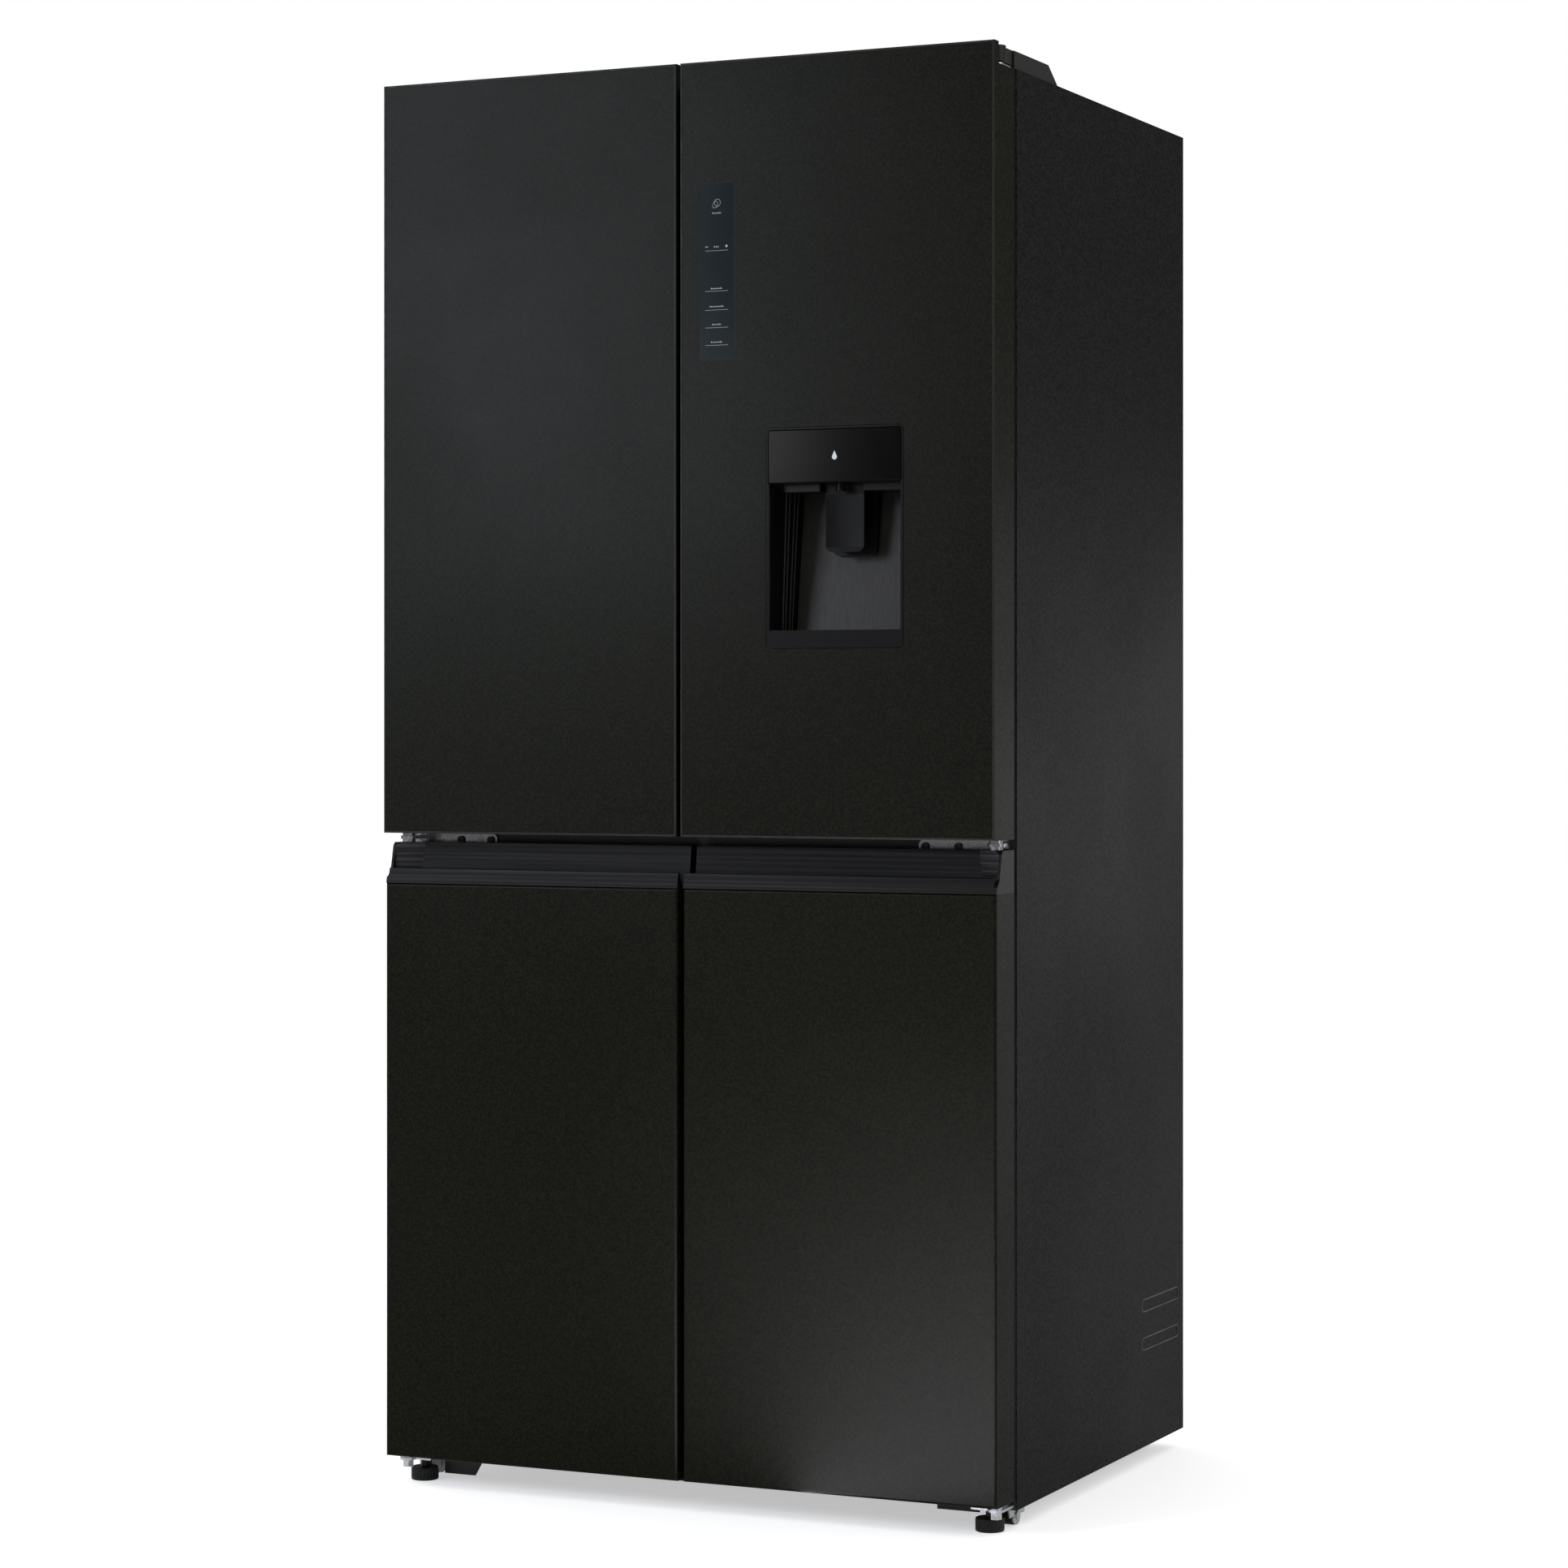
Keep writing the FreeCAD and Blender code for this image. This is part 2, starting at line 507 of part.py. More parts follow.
def dispenser():
    u0, u1 = DISP_U
    z0, z1 = DISP_Z
    front = FRONT + 0.6
    body = rounded(ubox(u0, u1, front, FRONT + DISP_DEEP, z0, z1), 5.0, lambda p: True, "y")
    body = fuse(body.cut(recess_space(u0, u1, front)), *cheek_ribs(u0, u1, front))
    soffit = ubox(u0 + 3, u1 - 3, FRONT + 22, FRONT + DISP_DEEP - 2, SOFFIT_Z, RECESS_Z[1] + 1)
    body = fuse(body, soffit)
    fascia_seat = rounded(ubox(u0 + 2.2, u1 - 2.2, front - 1, FRONT + 5, RECESS_Z[1], z1 - 2.2),
                          3.7, lambda p: p.z > z1 - 4, "y")
    body = body.cut(fascia_seat)
    y, z = PADDLE_PIVOT
    well_half = PADDLE_HALF + 3.5
    body = body.cut(ubox(DISP_MID - well_half, DISP_MID + well_half, FRONT + 12, FRONT + 60,
                         SOFFIT_Z - 1, z + 12))
    body = body.cut(rod(2.0 + RUNNING, (at(DISP_MID - well_half - 4), y, z),
                        (at(DISP_MID + well_half + 4), y, z)))
    drip = ubox(u0 + 22, u1 - 22, FRONT + 8, FRONT + 46, RECESS_Z[0] - 3, RECESS_Z[0] + 1)
    body = body.cut(vertical_rounded(drip, 6))
    spout = fuse(post(5.0, DISP_MID, FRONT + 20, RECESS_Z[1] - 9, z + 12.5)).cut(
        post(3.0, DISP_MID, FRONT + 20, RECESS_Z[1] - 10, z))
    body = fuse(body, spout)
    stop = ubox(*STOP_U, FRONT + 58, FRONT + RECESS_DEEP[1] + 1, STOP_Z, z)
    stop = rounded(stop, 8.0, lambda p: p.z < STOP_Z + 1, "y").cut(body)
    write("dispenser_housing", *[mirror(solid) for solid in [body] + stop.Solids])

    fascia = ubox(u0 + 2.4, u1 - 2.4, front + 0.3, FRONT + 5, RECESS_Z[1] + 0.2, z1 - 2.4)
    fascia = rounded(fascia, 3.5, lambda p: p.z > z1 - 4, "y")
    fascia = rounded(fascia, 1.2, lambda p: p.y < front + 0.5)
    write("dispenser_fascia", mirror(fascia))

    plate_y = FRONT + 32.0
    paddle = ubox(DISP_MID - PADDLE_HALF, DISP_MID + PADDLE_HALF, plate_y, plate_y + 5, PADDLE_Z, z + 5)
    paddle = rounded(paddle, 9.0, lambda p: p.z < PADDLE_Z + 1, "y")
    hollow_r = 260.0
    paddle = paddle.cut(post(hollow_r, DISP_MID, plate_y + 1.2 - hollow_r, PADDLE_Z + 6, z - 20))
    pins = rod(2.0, (at(DISP_MID - well_half - 3), y, z), (at(DISP_MID + well_half + 3), y, z))
    write("dispenser_paddle", mirror(fuse(paddle, pins)))


def water_tank():
    u0, u1 = TANK_U
    y0, y1 = TANK_Y
    z0, z1 = TANK_Z
    y, z = LID_PIVOT
    tank = tray(u0, u1, y0, y1, z0, z1, 3.0, 3.0, 8.0)
    for ear_u, tip in ((u0 - 4, u0 + 8), (u1 + 4, u1 - 8)):
        inward = sorted((ear_u, ear_u + (3.6 if ear_u < u0 else -3.6)))
        web = sorted((ear_u, ear_u + (5.0 if ear_u < u0 else -5.0)))
        tank = fuse(tank, ubox(*inward, y0, y + 4, z1 - 25, z + 4),
                    ubox(*web, y0 + 9, y + 4, z1 - 25, z1 - 5), rod(1.5, (at(ear_u), y, z), (at(tip), y, z)))
    write("water_tank", mirror(tank))
    lid = ubox(u0 + 0.5, u1 - 0.5, y - 1.5, y1, z1 + 1, z1 + 4)
    lid = rounded(lid, 7.0, lambda p: p.y > y1 - 1, "z")
    for start in (u0 + 2, u1 - 22):
        lid = fuse(lid, rod(3.5, (at(start), y, z), (at(start + 20), y, z)))
    tab = ubox(DISP_MID - 14, DISP_MID + 14, y1 - 1, y1 + 8, z1 + 1, z1 + 4)
    lid = fuse(lid, tab).cut(rod(1.5 + RUNNING, (at(u0 - 1), y, z), (at(u1 + 1), y, z)))
    write("tank_lid", mirror(lid))


def lower_doors():
    width, block, core = door_solids(False)
    skin = block.cut(core)
    inner = door_inner(core, LOWER_Z[0] + 15, LOWER_Z[1] - 15)
    seal = door_seal(width, 60, 799)
    front = FRONT + LOWER_SETBACK

    channel_z = LIP_Z - CHANNEL_DEEP
    outline = [(front, LOWER_SKIN_Z1), (FRONT + 8.5, LIP_Z - 0.8), (FRONT + 9.4, LIP_Z),
               (FRONT + 13, LIP_Z), (FRONT + 17, channel_z), (FRONT + 36, channel_z),
               (FRONT + 41, LIP_Z - 2), (FRONT + 45, LOWER_Z1), (DOOR_REAR, LOWER_Z1),
               (DOOR_REAR, LOWER_SKIN_Z1)]
    grip = prism_x(outline, at(0.6), at(width))
    cheek_outline = [(front + 1, LOWER_SKIN_Z1), (FRONT + 9, LIP_Z - 12), (FRONT + 17, LIP_Z - 3),
                     (FRONT + 24, LOWER_Z1 - 4), (FRONT + 28, LOWER_Z1), (DOOR_REAR, LOWER_Z1),
                     (DOOR_REAR, LOWER_SKIN_Z1)]
    cheek = prism_x(cheek_outline, at(0), at(3.6))
    # a gusset round the hinge bore, slanting from the cheek's edge to the channel's rear wall
    gusset = prism_z([(at(3), FRONT + 23.5), (at(3), DOOR_REAR - 10), (at(36), DOOR_REAR - 10),
                      (at(36), FRONT + 44)], LOWER_SKIN_Z1 + 1, LOWER_Z1)
    gusset = gusset.common(prism_x(cheek_outline, at(2), at(37)))
    corner = ubox(-1, 14, front - 1, FRONT + 16, LIP_Z - 11, LIP_Z + 1)
    corner = corner.cut(rod(11, (at(14), front - 2, LIP_Z - 11), (at(14), FRONT + 17, LIP_Z - 11)))
    grip = grip.cut(corner.common(ubox(-1, 3.6, front - 1, FRONT + 16, 0, HEIGHT)))
    handle = fuse(grip, cheek, gusset).cut(post(BORE_R, HINGE_U, HINGE_Y, LOWER_Z1 - 14, LOWER_Z1 + 1))
    for side, place in (("left", lambda s: s), ("right", mirror)):
        write("lower_%s_panel" % side, place(skin))
        write("lower_%s_inner" % side, place(inner))
        write("lower_%s_gasket" % side, place(seal))
        write("lower_%s_handle" % side, place(handle))


# ---- inside -------------------------------------------------------------
def drawer(u1, y1, z0, z1):
    body = tray(DRAWER_U0, u1, DRAWER_FRONT, y1, z0, z1, 3.0, 8.0)
    grip = ubox(DRAWER_U0 + 60, u1 - 60, DRAWER_FRONT - 1, DRAWER_FRONT + 4, z1 - 30, z1 - 10)
    return body.cut(grip)


def drawers():
    crisper = drawer(WIDTH / 2 - 24, 245, 882, 1062)
    write("crisper_left", crisper)
    write("crisper_right", mirror(crisper))
    inner_u1 = WIDTH / 2 - POST_HALF - LINER_SHEET - 6
    rows = (("bottom", 112, 286, 90), ("middle", 312, 516, 195), ("top", 542, 758, 195))
    rails = [rail_pair(WIDTH / 2 - 24, 0, 882, 245, FRIDGE_Z[0])]
    for name, z0, z1, y1 in rows:
        body = drawer(inner_u1, y1, z0, z1)
        write("drawer_%s_left" % name, body)
        write("drawer_%s_right" % name, mirror(body))
        rails.append(rail_pair(inner_u1, POST_HALF + LINER_SHEET, z0, y1, None))
    flat = []
    for group in rails:
        flat += both(*group)
    write("drawer_rails", *flat)


def rail_pair(u1, post_x, z0, y1, floor):
    """Runners under one drawer: a spacer with a lip on the side wall, and a ledge at the centre."""
    wall_u = SIDE_WALL + LINER_SHEET
    y0 = DRAWER_FRONT + 12
    under = z0 - 0.5
    spacer = ubox(wall_u, DRAWER_U0 - 1, y0, y1, under - 8, z0 + 30)
    lip = ubox(DRAWER_U0 - 1, DRAWER_U0 + 14, y0, y1, under - 8, under)
    if floor is None:
        ledge = ubox(u1 - 12, WIDTH / 2 - post_x, y0, y1, under - 6, under)
    else:
        ledge = ubox(u1 - 12, WIDTH / 2 - 1, y0, y1, floor, under)
    return [spacer, lip, ledge]


def shelves_and_ducts():
    glass = []
    for index, z in enumerate(SHELF_Z):
        front = FRONT + (134 if index == 0 else 190)
        sheet = ubox(SIDE_WALL + LINER_SHEET + 2, WIDTH - SIDE_WALL - LINER_SHEET - 2, front, 255, z, z + 4)
        glass.append(vertical_rounded(sheet, 6))
    write("glass_shelves", *glass)

    duct = box(-120, 120, INNER_BACK - 18, INNER_BACK, 1100, 1660)
    duct = duct.cut(box(-116, 116, INNER_BACK - 15, INNER_BACK + 1, 1104, 1656))
    vents = []
    for z in range(1140, 1640, 80):
        for x in (-60, 60):
            vents.append(box(x - 30, x + 30, INNER_BACK - 20, INNER_BACK - 14, z, z + 8))
    duct = duct.cut(Part.makeCompound(vents))
    x0 = at(SIDE_WALL + LINER_SHEET)
    plates = []
    for plate in both(box(x0, -POST_HALF - LINER_SHEET, 204, 207, 302, LOWER_Z[1])):
        slots = []
        for z in (530, 760):
            for x in range(-330, 340, 60):
                slots.append(box(x - 20, x + 20, 200, 210, z - 10, z - 4))
        plates.append(plate.cut(Part.makeCompound(slots)))
    write("air_ducts", duct, *plates)


def coil(x0, x1, y0, y1, z0, rows, pitch, tube, fins):
    """Straight tubes along x through upright fins, joined by half rings at the ends."""
    solids = []
    y = (y0 + y1) / 2
    bend = pitch / 2
    left, right = x0 + bend + tube + 2, x1 - bend - tube - 2
    for row in range(rows):
        z = z0 + bend + row * pitch
        solids.append(rod(tube, (left, y, z), (right, y, z)))
        if row < rows - 1:
            end, turn = (right, 1) if row % 2 == 0 else (left, -1)
            half = Part.makeTorus(bend, tube, Vector(end, y, z + bend), Vector(0, 1, 0), 0, 360)
            keep = box(*sorted((end, end + turn * 2 * pitch)), y - 20, y + 20, z - pitch, z + 2 * pitch)
            solids.append(half.common(keep))
    z1 = z0 + rows * pitch
    for index in range(fins):
        x = left + 6 + (right - left - 12) * index / (fins - 1)
        solids.append(box(x - 0.5, x + 0.5, y0, y1, z0, z1))
    return fuse(*solids)


def machine_room():
    write("condenser", coil(-340, -80, 185, 235, 62, 5, 34.0, 4.0, 18))
    write("evaporator", coil(at(70), at(375), 212, 236, 430, 6, 40.0, 4.0, 20))

    tray_x = (-350.0, -70.0)
    pan = vertical_rounded(box(tray_x[0], tray_x[1], 165, 325, CAB_BOTTOM + 2, 52), 12)
    pan = pan.cut(vertical_rounded(box(tray_x[0] + 2, tray_x[1] - 2, 167, 323, CAB_BOTTOM + 4, 53), 10))
    write("drip_tray", pan)

    comp_x, comp_y = 245.0, 245.0
    shell = rod(68, (comp_x, comp_y, 46), (comp_x, comp_y, 200))
    shell = shell.makeFillet(34, [e for e in shell.Edges if len(e.Vertexes) == 1])
    feet_plate = vertical_rounded(box(comp_x - 95, comp_x + 95, comp_y - 55, comp_y + 55, 40, 43), 12)
    skirt = rod(52, (comp_x, comp_y, 43), (comp_x, comp_y, 60))
    solids = [shell, feet_plate, skirt]
    for dx in (-78, 78):
        for dy in (-40, 40):
            solids.append(rod(9, (comp_x + dx, comp_y + dy, CAB_BOTTOM + 2), (comp_x + dx, comp_y + dy, 40)))
    stub_x = comp_x - 66
    solids.append(rod(4, (stub_x + 8, comp_y, 120), (stub_x - 40, comp_y, 120)))
    solids.append(rod(4, (stub_x - 38, comp_y, 118), (stub_x - 38, comp_y, 230)))
    write("compressor", fuse(*solids))

    hub = rod(16, (FAN_X, FAN_Y, FAN_Z), (FAN_X + 16, FAN_Y, FAN_Z))
    blades = []
    for index in range(5):
        blade = box(FAN_X + 7, FAN_X + 9, FAN_Y - 16, FAN_Y + 16, FAN_Z + 12, FAN_Z + 66)
        blade.rotate(Vector(FAN_X + 8, FAN_Y, FAN_Z), Vector(0, 0, 1), 28)
        blade.rotate(Vector(FAN_X + 8, FAN_Y, FAN_Z), Vector(1, 0, 0), index * 72)
        blades.append(blade)
    rotor = fuse(hub, *blades).cut(rod(3 + RUNNING, (FAN_X - 5, FAN_Y, FAN_Z), (FAN_X + 12, FAN_Y, FAN_Z)))
    write("condenser_fan", rotor)

    shroud = box(FAN_X - 24, FAN_X + 20, FAN_Y - 80, FAN_Y + 80, CAB_BOTTOM + 2, FAN_Z + 85)
    shroud = shroud.cut(rod(72, (FAN_X - 30, FAN_Y, FAN_Z), (FAN_X + 30, FAN_Y, FAN_Z)))
    arms = [box(FAN_X - 22, FAN_X - 18, FAN_Y - 79, FAN_Y + 79, FAN_Z - 5, FAN_Z + 5),
            box(FAN_X - 22, FAN_X - 18, FAN_Y - 5, FAN_Y + 5, FAN_Z - 79, FAN_Z + 79),
            rod(22, (FAN_X - 24, FAN_Y, FAN_Z), (FAN_X - 4, FAN_Y, FAN_Z)),
            rod(3, (FAN_X - 5, FAN_Y, FAN_Z), (FAN_X + 10, FAN_Y, FAN_Z))]
    write("fan_bracket", fuse(shroud, *arms))

    rear = BACK - BACK_INSET
    cover = box(-410, 410, rear - CASE_SHEET, rear, CAB_BOTTOM + 2.5, MACHINE_Z1 - 0.5)
    slots = []
    for column in range(20):
        x = -300 + 30 * column
        for z in (70, 120, 170, 220):
            slots.append(box(x, x + 5, BACK - 5, BACK + 1, z - 16, z + 16))
    inlet_x, inlet_z = -365.0, 70.0
    cover = cover.cut(Part.makeCompound(slots))
    cover = cover.cut(box(inlet_x - 16, inlet_x + 16, BACK - 5, BACK + 1, inlet_z - 14, inlet_z + 14))
    write("compressor_cover", cover)
    inlet = box(inlet_x - 15.5, inlet_x + 15.5, BACK - 26, BACK - 0.2, inlet_z - 13.5, inlet_z + 13.5)
    inlet = inlet.cut(vertical_rounded(box(inlet_x - 12, inlet_x + 12, BACK - 20, BACK + 1,
                                           inlet_z - 9, inlet_z + 9), 2))
    for dx in (-7, 0, 7):
        x = inlet_x + dx
        inlet = fuse(inlet, box(x - 1, x + 1, BACK - 21, BACK - 6, inlet_z - 3, inlet_z + 3))
    write("power_inlet", inlet)


outer_case()
cabinet_core()
base_tray()
rollers()
feet()
hinges()
hinge_covers()
screws()
upper_doors()
lower_doors()
drawers()
shelves_and_ducts()
machine_room()
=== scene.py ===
import json
import math

import bmesh
import bpy
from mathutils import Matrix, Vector


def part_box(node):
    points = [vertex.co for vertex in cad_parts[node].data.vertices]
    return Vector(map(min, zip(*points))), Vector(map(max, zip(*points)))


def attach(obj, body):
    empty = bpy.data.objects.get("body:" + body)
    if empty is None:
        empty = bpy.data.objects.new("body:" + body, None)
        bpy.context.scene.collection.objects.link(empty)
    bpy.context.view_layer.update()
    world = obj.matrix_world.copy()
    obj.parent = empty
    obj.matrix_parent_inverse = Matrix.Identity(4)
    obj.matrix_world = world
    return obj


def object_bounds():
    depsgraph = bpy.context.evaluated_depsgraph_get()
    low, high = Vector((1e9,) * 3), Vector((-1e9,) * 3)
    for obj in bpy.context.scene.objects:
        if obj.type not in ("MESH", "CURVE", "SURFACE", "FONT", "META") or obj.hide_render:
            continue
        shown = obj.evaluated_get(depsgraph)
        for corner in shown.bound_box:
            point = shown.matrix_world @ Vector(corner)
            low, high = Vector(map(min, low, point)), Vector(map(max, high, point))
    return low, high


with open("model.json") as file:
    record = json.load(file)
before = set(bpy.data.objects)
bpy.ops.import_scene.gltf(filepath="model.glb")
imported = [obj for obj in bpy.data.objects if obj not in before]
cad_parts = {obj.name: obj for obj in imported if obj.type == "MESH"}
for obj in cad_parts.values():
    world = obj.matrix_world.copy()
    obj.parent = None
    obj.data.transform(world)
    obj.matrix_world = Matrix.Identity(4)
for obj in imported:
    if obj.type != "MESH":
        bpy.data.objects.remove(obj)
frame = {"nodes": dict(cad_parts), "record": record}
cad_low, cad_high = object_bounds()
nodes = frame["nodes"]
MM = 0.001
SMOOTH_ANGLE = math.radians(35.0)

# Measures in millimetres. A drop is counted down from the top edge of the piece it lies on.
CARRY_MARK_Y = (177.5, 323.5)      # the long shallow marks low on the right side
CARRY_MARK_Z = (157.0, 207.0)
CARRY_MARK_R = 8.5
PRINT_RISE = 0.05                  # how far printed marks stand out of the glass
WORD_STEP = 1.75                   # spacing, width and height of the blocks that stand for letters
WORD_WIDE = 0.6
WORD_TALL = 1.9
ICON_DROP = 26.0
ICON_WORD_DROP = 38.0
SETTING_DROP = 78.0
LEGENDS = ((130.0, 9), (152.0, 11), (174.0, 7), (195.5, 9))      # drop and number of letters
LINE_DROPS = (83.0, 132.5, 155.5, 177.0, 198.5)
DROP_RADIUS = 3.3                  # the water icon
SPOUT_SETBACK = 19.4
SPOUT_BELOW_FASCIA = 10.4
SOFFIT_DROP = 77.0                 # the ceiling of the dispenser's recess
GRILLE_SLATS = 15
FIELD_NEAR = 58.0                  # raised field of a door's liner: from the gasket's outer edge
FIELD_WIDE = 282.0
DOOR_DYKE = 38.0
LAMP_HALF = 154.0
DUCT_HALF = 121.5
DUCT_TALL = 561.0
STRIP_X = 104.0
BEAD_RISE = 1.6                    # pressed beads of the rear panel
BEAD_COUNT = 8
SCREW_RISE = 1.7
PIPE_TOP = 247.0
PIPE_BEND = 14.0
PIPE_RADIUS = 3.2

# The view: a long lens from the right front, level, with the frame shifted down a little.
CAMERA_PLACE = (2.1345, -4.6746, 0.9688)
CAMERA_TURN = 24.69
CAMERA_LENS = 90.43
CAMERA_SHIFT = -0.0399
PANEL_TURN = -24.7                 # the light panel on the floor faces up, turned about the upright axis


# ---- node helpers --------------------------------------------------------
class Shader:
    """A material with one Principled shader, and short ways to add nodes to it."""

    def __init__(self, name, color, rough, metal=0.0, specular=0.5, **sockets):
        self.material = bpy.data.materials.new(name)
        self.material.use_nodes = True
        self.tree = self.material.node_tree
        self.main = self.tree.nodes["Principled BSDF"]
        self.set(self.main, "Base Color", (*color, 1.0))
        self.set(self.main, "Roughness", rough)
        self.set(self.main, "Metallic", metal)
        self.set(self.main, "Specular IOR Level", specular)
        for label, value in sockets.items():
            self.set(self.main, label.replace("_", " "), value)

    def set(self, node, label, value):
        node.inputs[label].default_value = value

    def add(self, kind, **values):
        node = self.tree.nodes.new(kind)
        for label, value in values.items():
            if hasattr(node, label):
                setattr(node, label, value)
            else:
                self.set(node, label.replace("_", " "), value)
        return node

    def link(self, source, target):
        self.tree.links.new(source, target)

    def place(self, scale=(1.0, 1.0, 1.0)):
        """Object coordinates, stretched."""
        coords = self.add("ShaderNodeTexCoord")
        mapping = self.add("ShaderNodeMapping", Scale=scale)
        self.link(coords.outputs["Object"], mapping.inputs["Vector"])
        return mapping.outputs["Vector"]

    def noise(self, scale, detail=3.0, stretch=(1.0, 1.0, 1.0), roughness=0.5):
        node = self.add("ShaderNodeTexNoise", Scale=scale, Detail=detail, Roughness=roughness)
        self.link(self.place(stretch), node.inputs["Vector"])
        return node.outputs["Fac"]

    def cells(self, scale, stretch=(1.0, 1.0, 1.0)):
        node = self.add("ShaderNodeTexVoronoi", Scale=scale)
        self.link(self.place(stretch), node.inputs["Vector"])
        return node.outputs["Distance"]

    def span(self, value, low, high, to_low, to_high):
        node = self.add("ShaderNodeMapRange")
        for label, number in (("From Min", low), ("From Max", high), ("To Min", to_low), ("To Max", to_high)):
            self.set(node, label, number)
        self.link(value, node.inputs["Value"])
        return node.outputs["Result"]

    def tint(self, value, dark, light):
        """Base colour that runs from dark to light with value."""
        node = self.add("ShaderNodeMix", data_type="RGBA")
        node.inputs[6].default_value = (*dark, 1.0)
        node.inputs[7].default_value = (*light, 1.0)
        self.link(value, node.inputs[0])
        self.link(node.outputs[2], self.main.inputs["Base Color"])

    def vary_rough(self, value, low, high):
        self.link(self.span(value, 0.3, 0.7, low, high), self.main.inputs["Roughness"])

    def bump(self, value, depth_mm, strength=1.0, below=None):
        node = self.add("ShaderNodeBump", Strength=strength, Distance=depth_mm * MM)
        self.link(value, node.inputs["Height"])
        if below is not None:
            self.link(below, node.inputs["Normal"])
        self.link(node.outputs["Normal"], self.main.inputs["Normal"])
        return node.outputs["Normal"]


def scaled(color, factor):
    """A colour made darker or lighter."""
    return tuple(min(1.0, part * factor) for part in color)


# ---- materials -----------------------------------------------------------
def pebbled_paint(name, color, rough, specular=0.32, light=2.6, pebble=340.0, depth=0.07):
    """Baked coating with a fine pebble speckle, soft clouding and a little handling wear."""
    m = Shader(name, color, rough, specular=specular)
    speck = m.noise(pebble, detail=3.0, roughness=0.7)
    m.tint(m.span(speck, 0.40, 0.62, 0.0, 1.0), scaled(color, 0.35), scaled(color, light))
    m.vary_rough(m.noise(2.2, detail=4.0), rough - 0.05, rough + 0.06)
    grain = m.bump(speck, depth)
    m.bump(m.noise(9.0, detail=1.0), 0.05, 0.25, grain)
    return m.material


def brushed_metal(name, color, rough, metal=0.85, upright=False, specular=0.5, across=1500.0,
                  streak=0.65, slanted=False):
    """Dark metal brushed along x, or upright: long streaks in colour, roughness and height.

    On a face that is slanted about the upright axis the streaks run along x and y.
    """
    m = Shader(name, color, rough, metal, specular, Anisotropic=0.5)
    stretches = []
    for along, thin in ((6.0, across), (1.6, 330.0)):
        way = (along, along if slanted else thin, thin)
        stretches.append(way[::-1] if upright else way)
    fine = m.noise(1.0, detail=6.0, stretch=stretches[0], roughness=0.7)
    wide = m.noise(1.0, detail=3.0, stretch=stretches[1])
    blend = m.add("ShaderNodeMath", operation="ADD")
    m.link(fine, blend.inputs[0])
    m.link(wide, blend.inputs[1])
    mixed = m.span(blend.outputs[0], 0.85, 1.18, 0.0, 1.0)
    m.tint(mixed, scaled(color, 1.0 - streak), scaled(color, 1.0 + streak))
    m.vary_rough(fine, rough - 0.14 * streak, rough + 0.14 * streak)
    m.bump(fine, 0.03, 0.9 * streak)
    return m.material


def moulded(name, color, rough, grain=1500.0, depth=0.03, specular=0.4, **sockets):
    """Moulded plastic with a spark-eroded grain."""
    m = Shader(name, color, rough, specular=specular, **sockets)
    fine = m.cells(grain)
    m.tint(m.noise(3.0, detail=3.0), scaled(color, 0.88), scaled(color, 1.12))
    m.vary_rough(m.noise(12.0, detail=3.0), rough - 0.05, rough + 0.06)
    m.bump(fine, depth, 0.5)
    return m.material


def glossy(name, color, rough=0.06, specular=0.5, haze=0.05):
    """Polished plastic or glass front with faint waviness and fingerprints."""
    m = Shader(name, color, rough, specular=specular)
    m.tint(m.noise(6.0, detail=2.0), scaled(color, 0.9), scaled(color, 1.1))
    m.vary_rough(m.noise(30.0, detail=4.0), rough, rough + haze)
    m.bump(m.noise(14.0, detail=1.0), 0.05, 0.15)
    return m.material


def clear(name, color, rough, ior):
    """Clear moulded plastic or glass."""
    m = Shader(name, color, rough, Transmission_Weight=0.92, IOR=ior)
    m.vary_rough(m.noise(18.0, detail=4.0), rough, rough + 0.06)
    m.bump(m.noise(40.0, detail=2.0), 0.03, 0.2)
    return m.material


def plated(name, color, rough, metal=1.0, specular=0.5):
    """Zinc or plain metal: small crystals, light oxide and scuffs."""
    m = Shader(name, color, rough, metal, specular)
    spangle = m.cells(420.0)
    m.tint(m.span(spangle, 0.0, 0.9, 0.0, 1.0), scaled(color, 0.72), scaled(color, 1.15))
    m.vary_rough(m.noise(90.0, detail=5.0), rough - 0.08, rough + 0.14)
    m.bump(m.noise(700.0, detail=3.0), 0.03, 0.5)
    return m.material


def rubber(name, color):
    """Soft dull rubber with a fine grain."""
    m = Shader(name, color, 0.62, specular=0.3, Sheen_Weight=0.08)
    m.tint(m.noise(60.0, detail=4.0), scaled(color, 0.8), scaled(color, 1.3))
    m.vary_rough(m.noise(200.0), 0.55, 0.72)
    m.bump(m.noise(2500.0), 0.03, 0.6)
    return m.material


def foam_block(name, color):
    """Rigid foam with open cells."""
    m = Shader(name, color, 0.9, specular=0.15)
    m.tint(m.cells(320.0), scaled(color, 0.8), scaled(color, 1.08))
    m.bump(m.cells(320.0), 0.6, 0.8)
    return m.material


def ink(name, color, glow=0.0):
    """Printed or back-lit marks."""
    m = Shader(name, color, 0.4)
    m.tint(m.noise(900.0), scaled(color, 0.94), color)
    if glow:
        m.set(m.main, "Emission Color", (*color, 1.0))
        m.set(m.main, "Emission Strength", glow)
    return m.material


def lit(name, color, strength):
    """A diffuser with a lamp behind it."""
    m = Shader(name, color, 0.5)
    m.tint(m.noise(30.0), scaled(color, 0.97), color)
    m.set(m.main, "Emission Color", (*color, 1.0))
    m.set(m.main, "Emission Strength", strength)
    return m.material


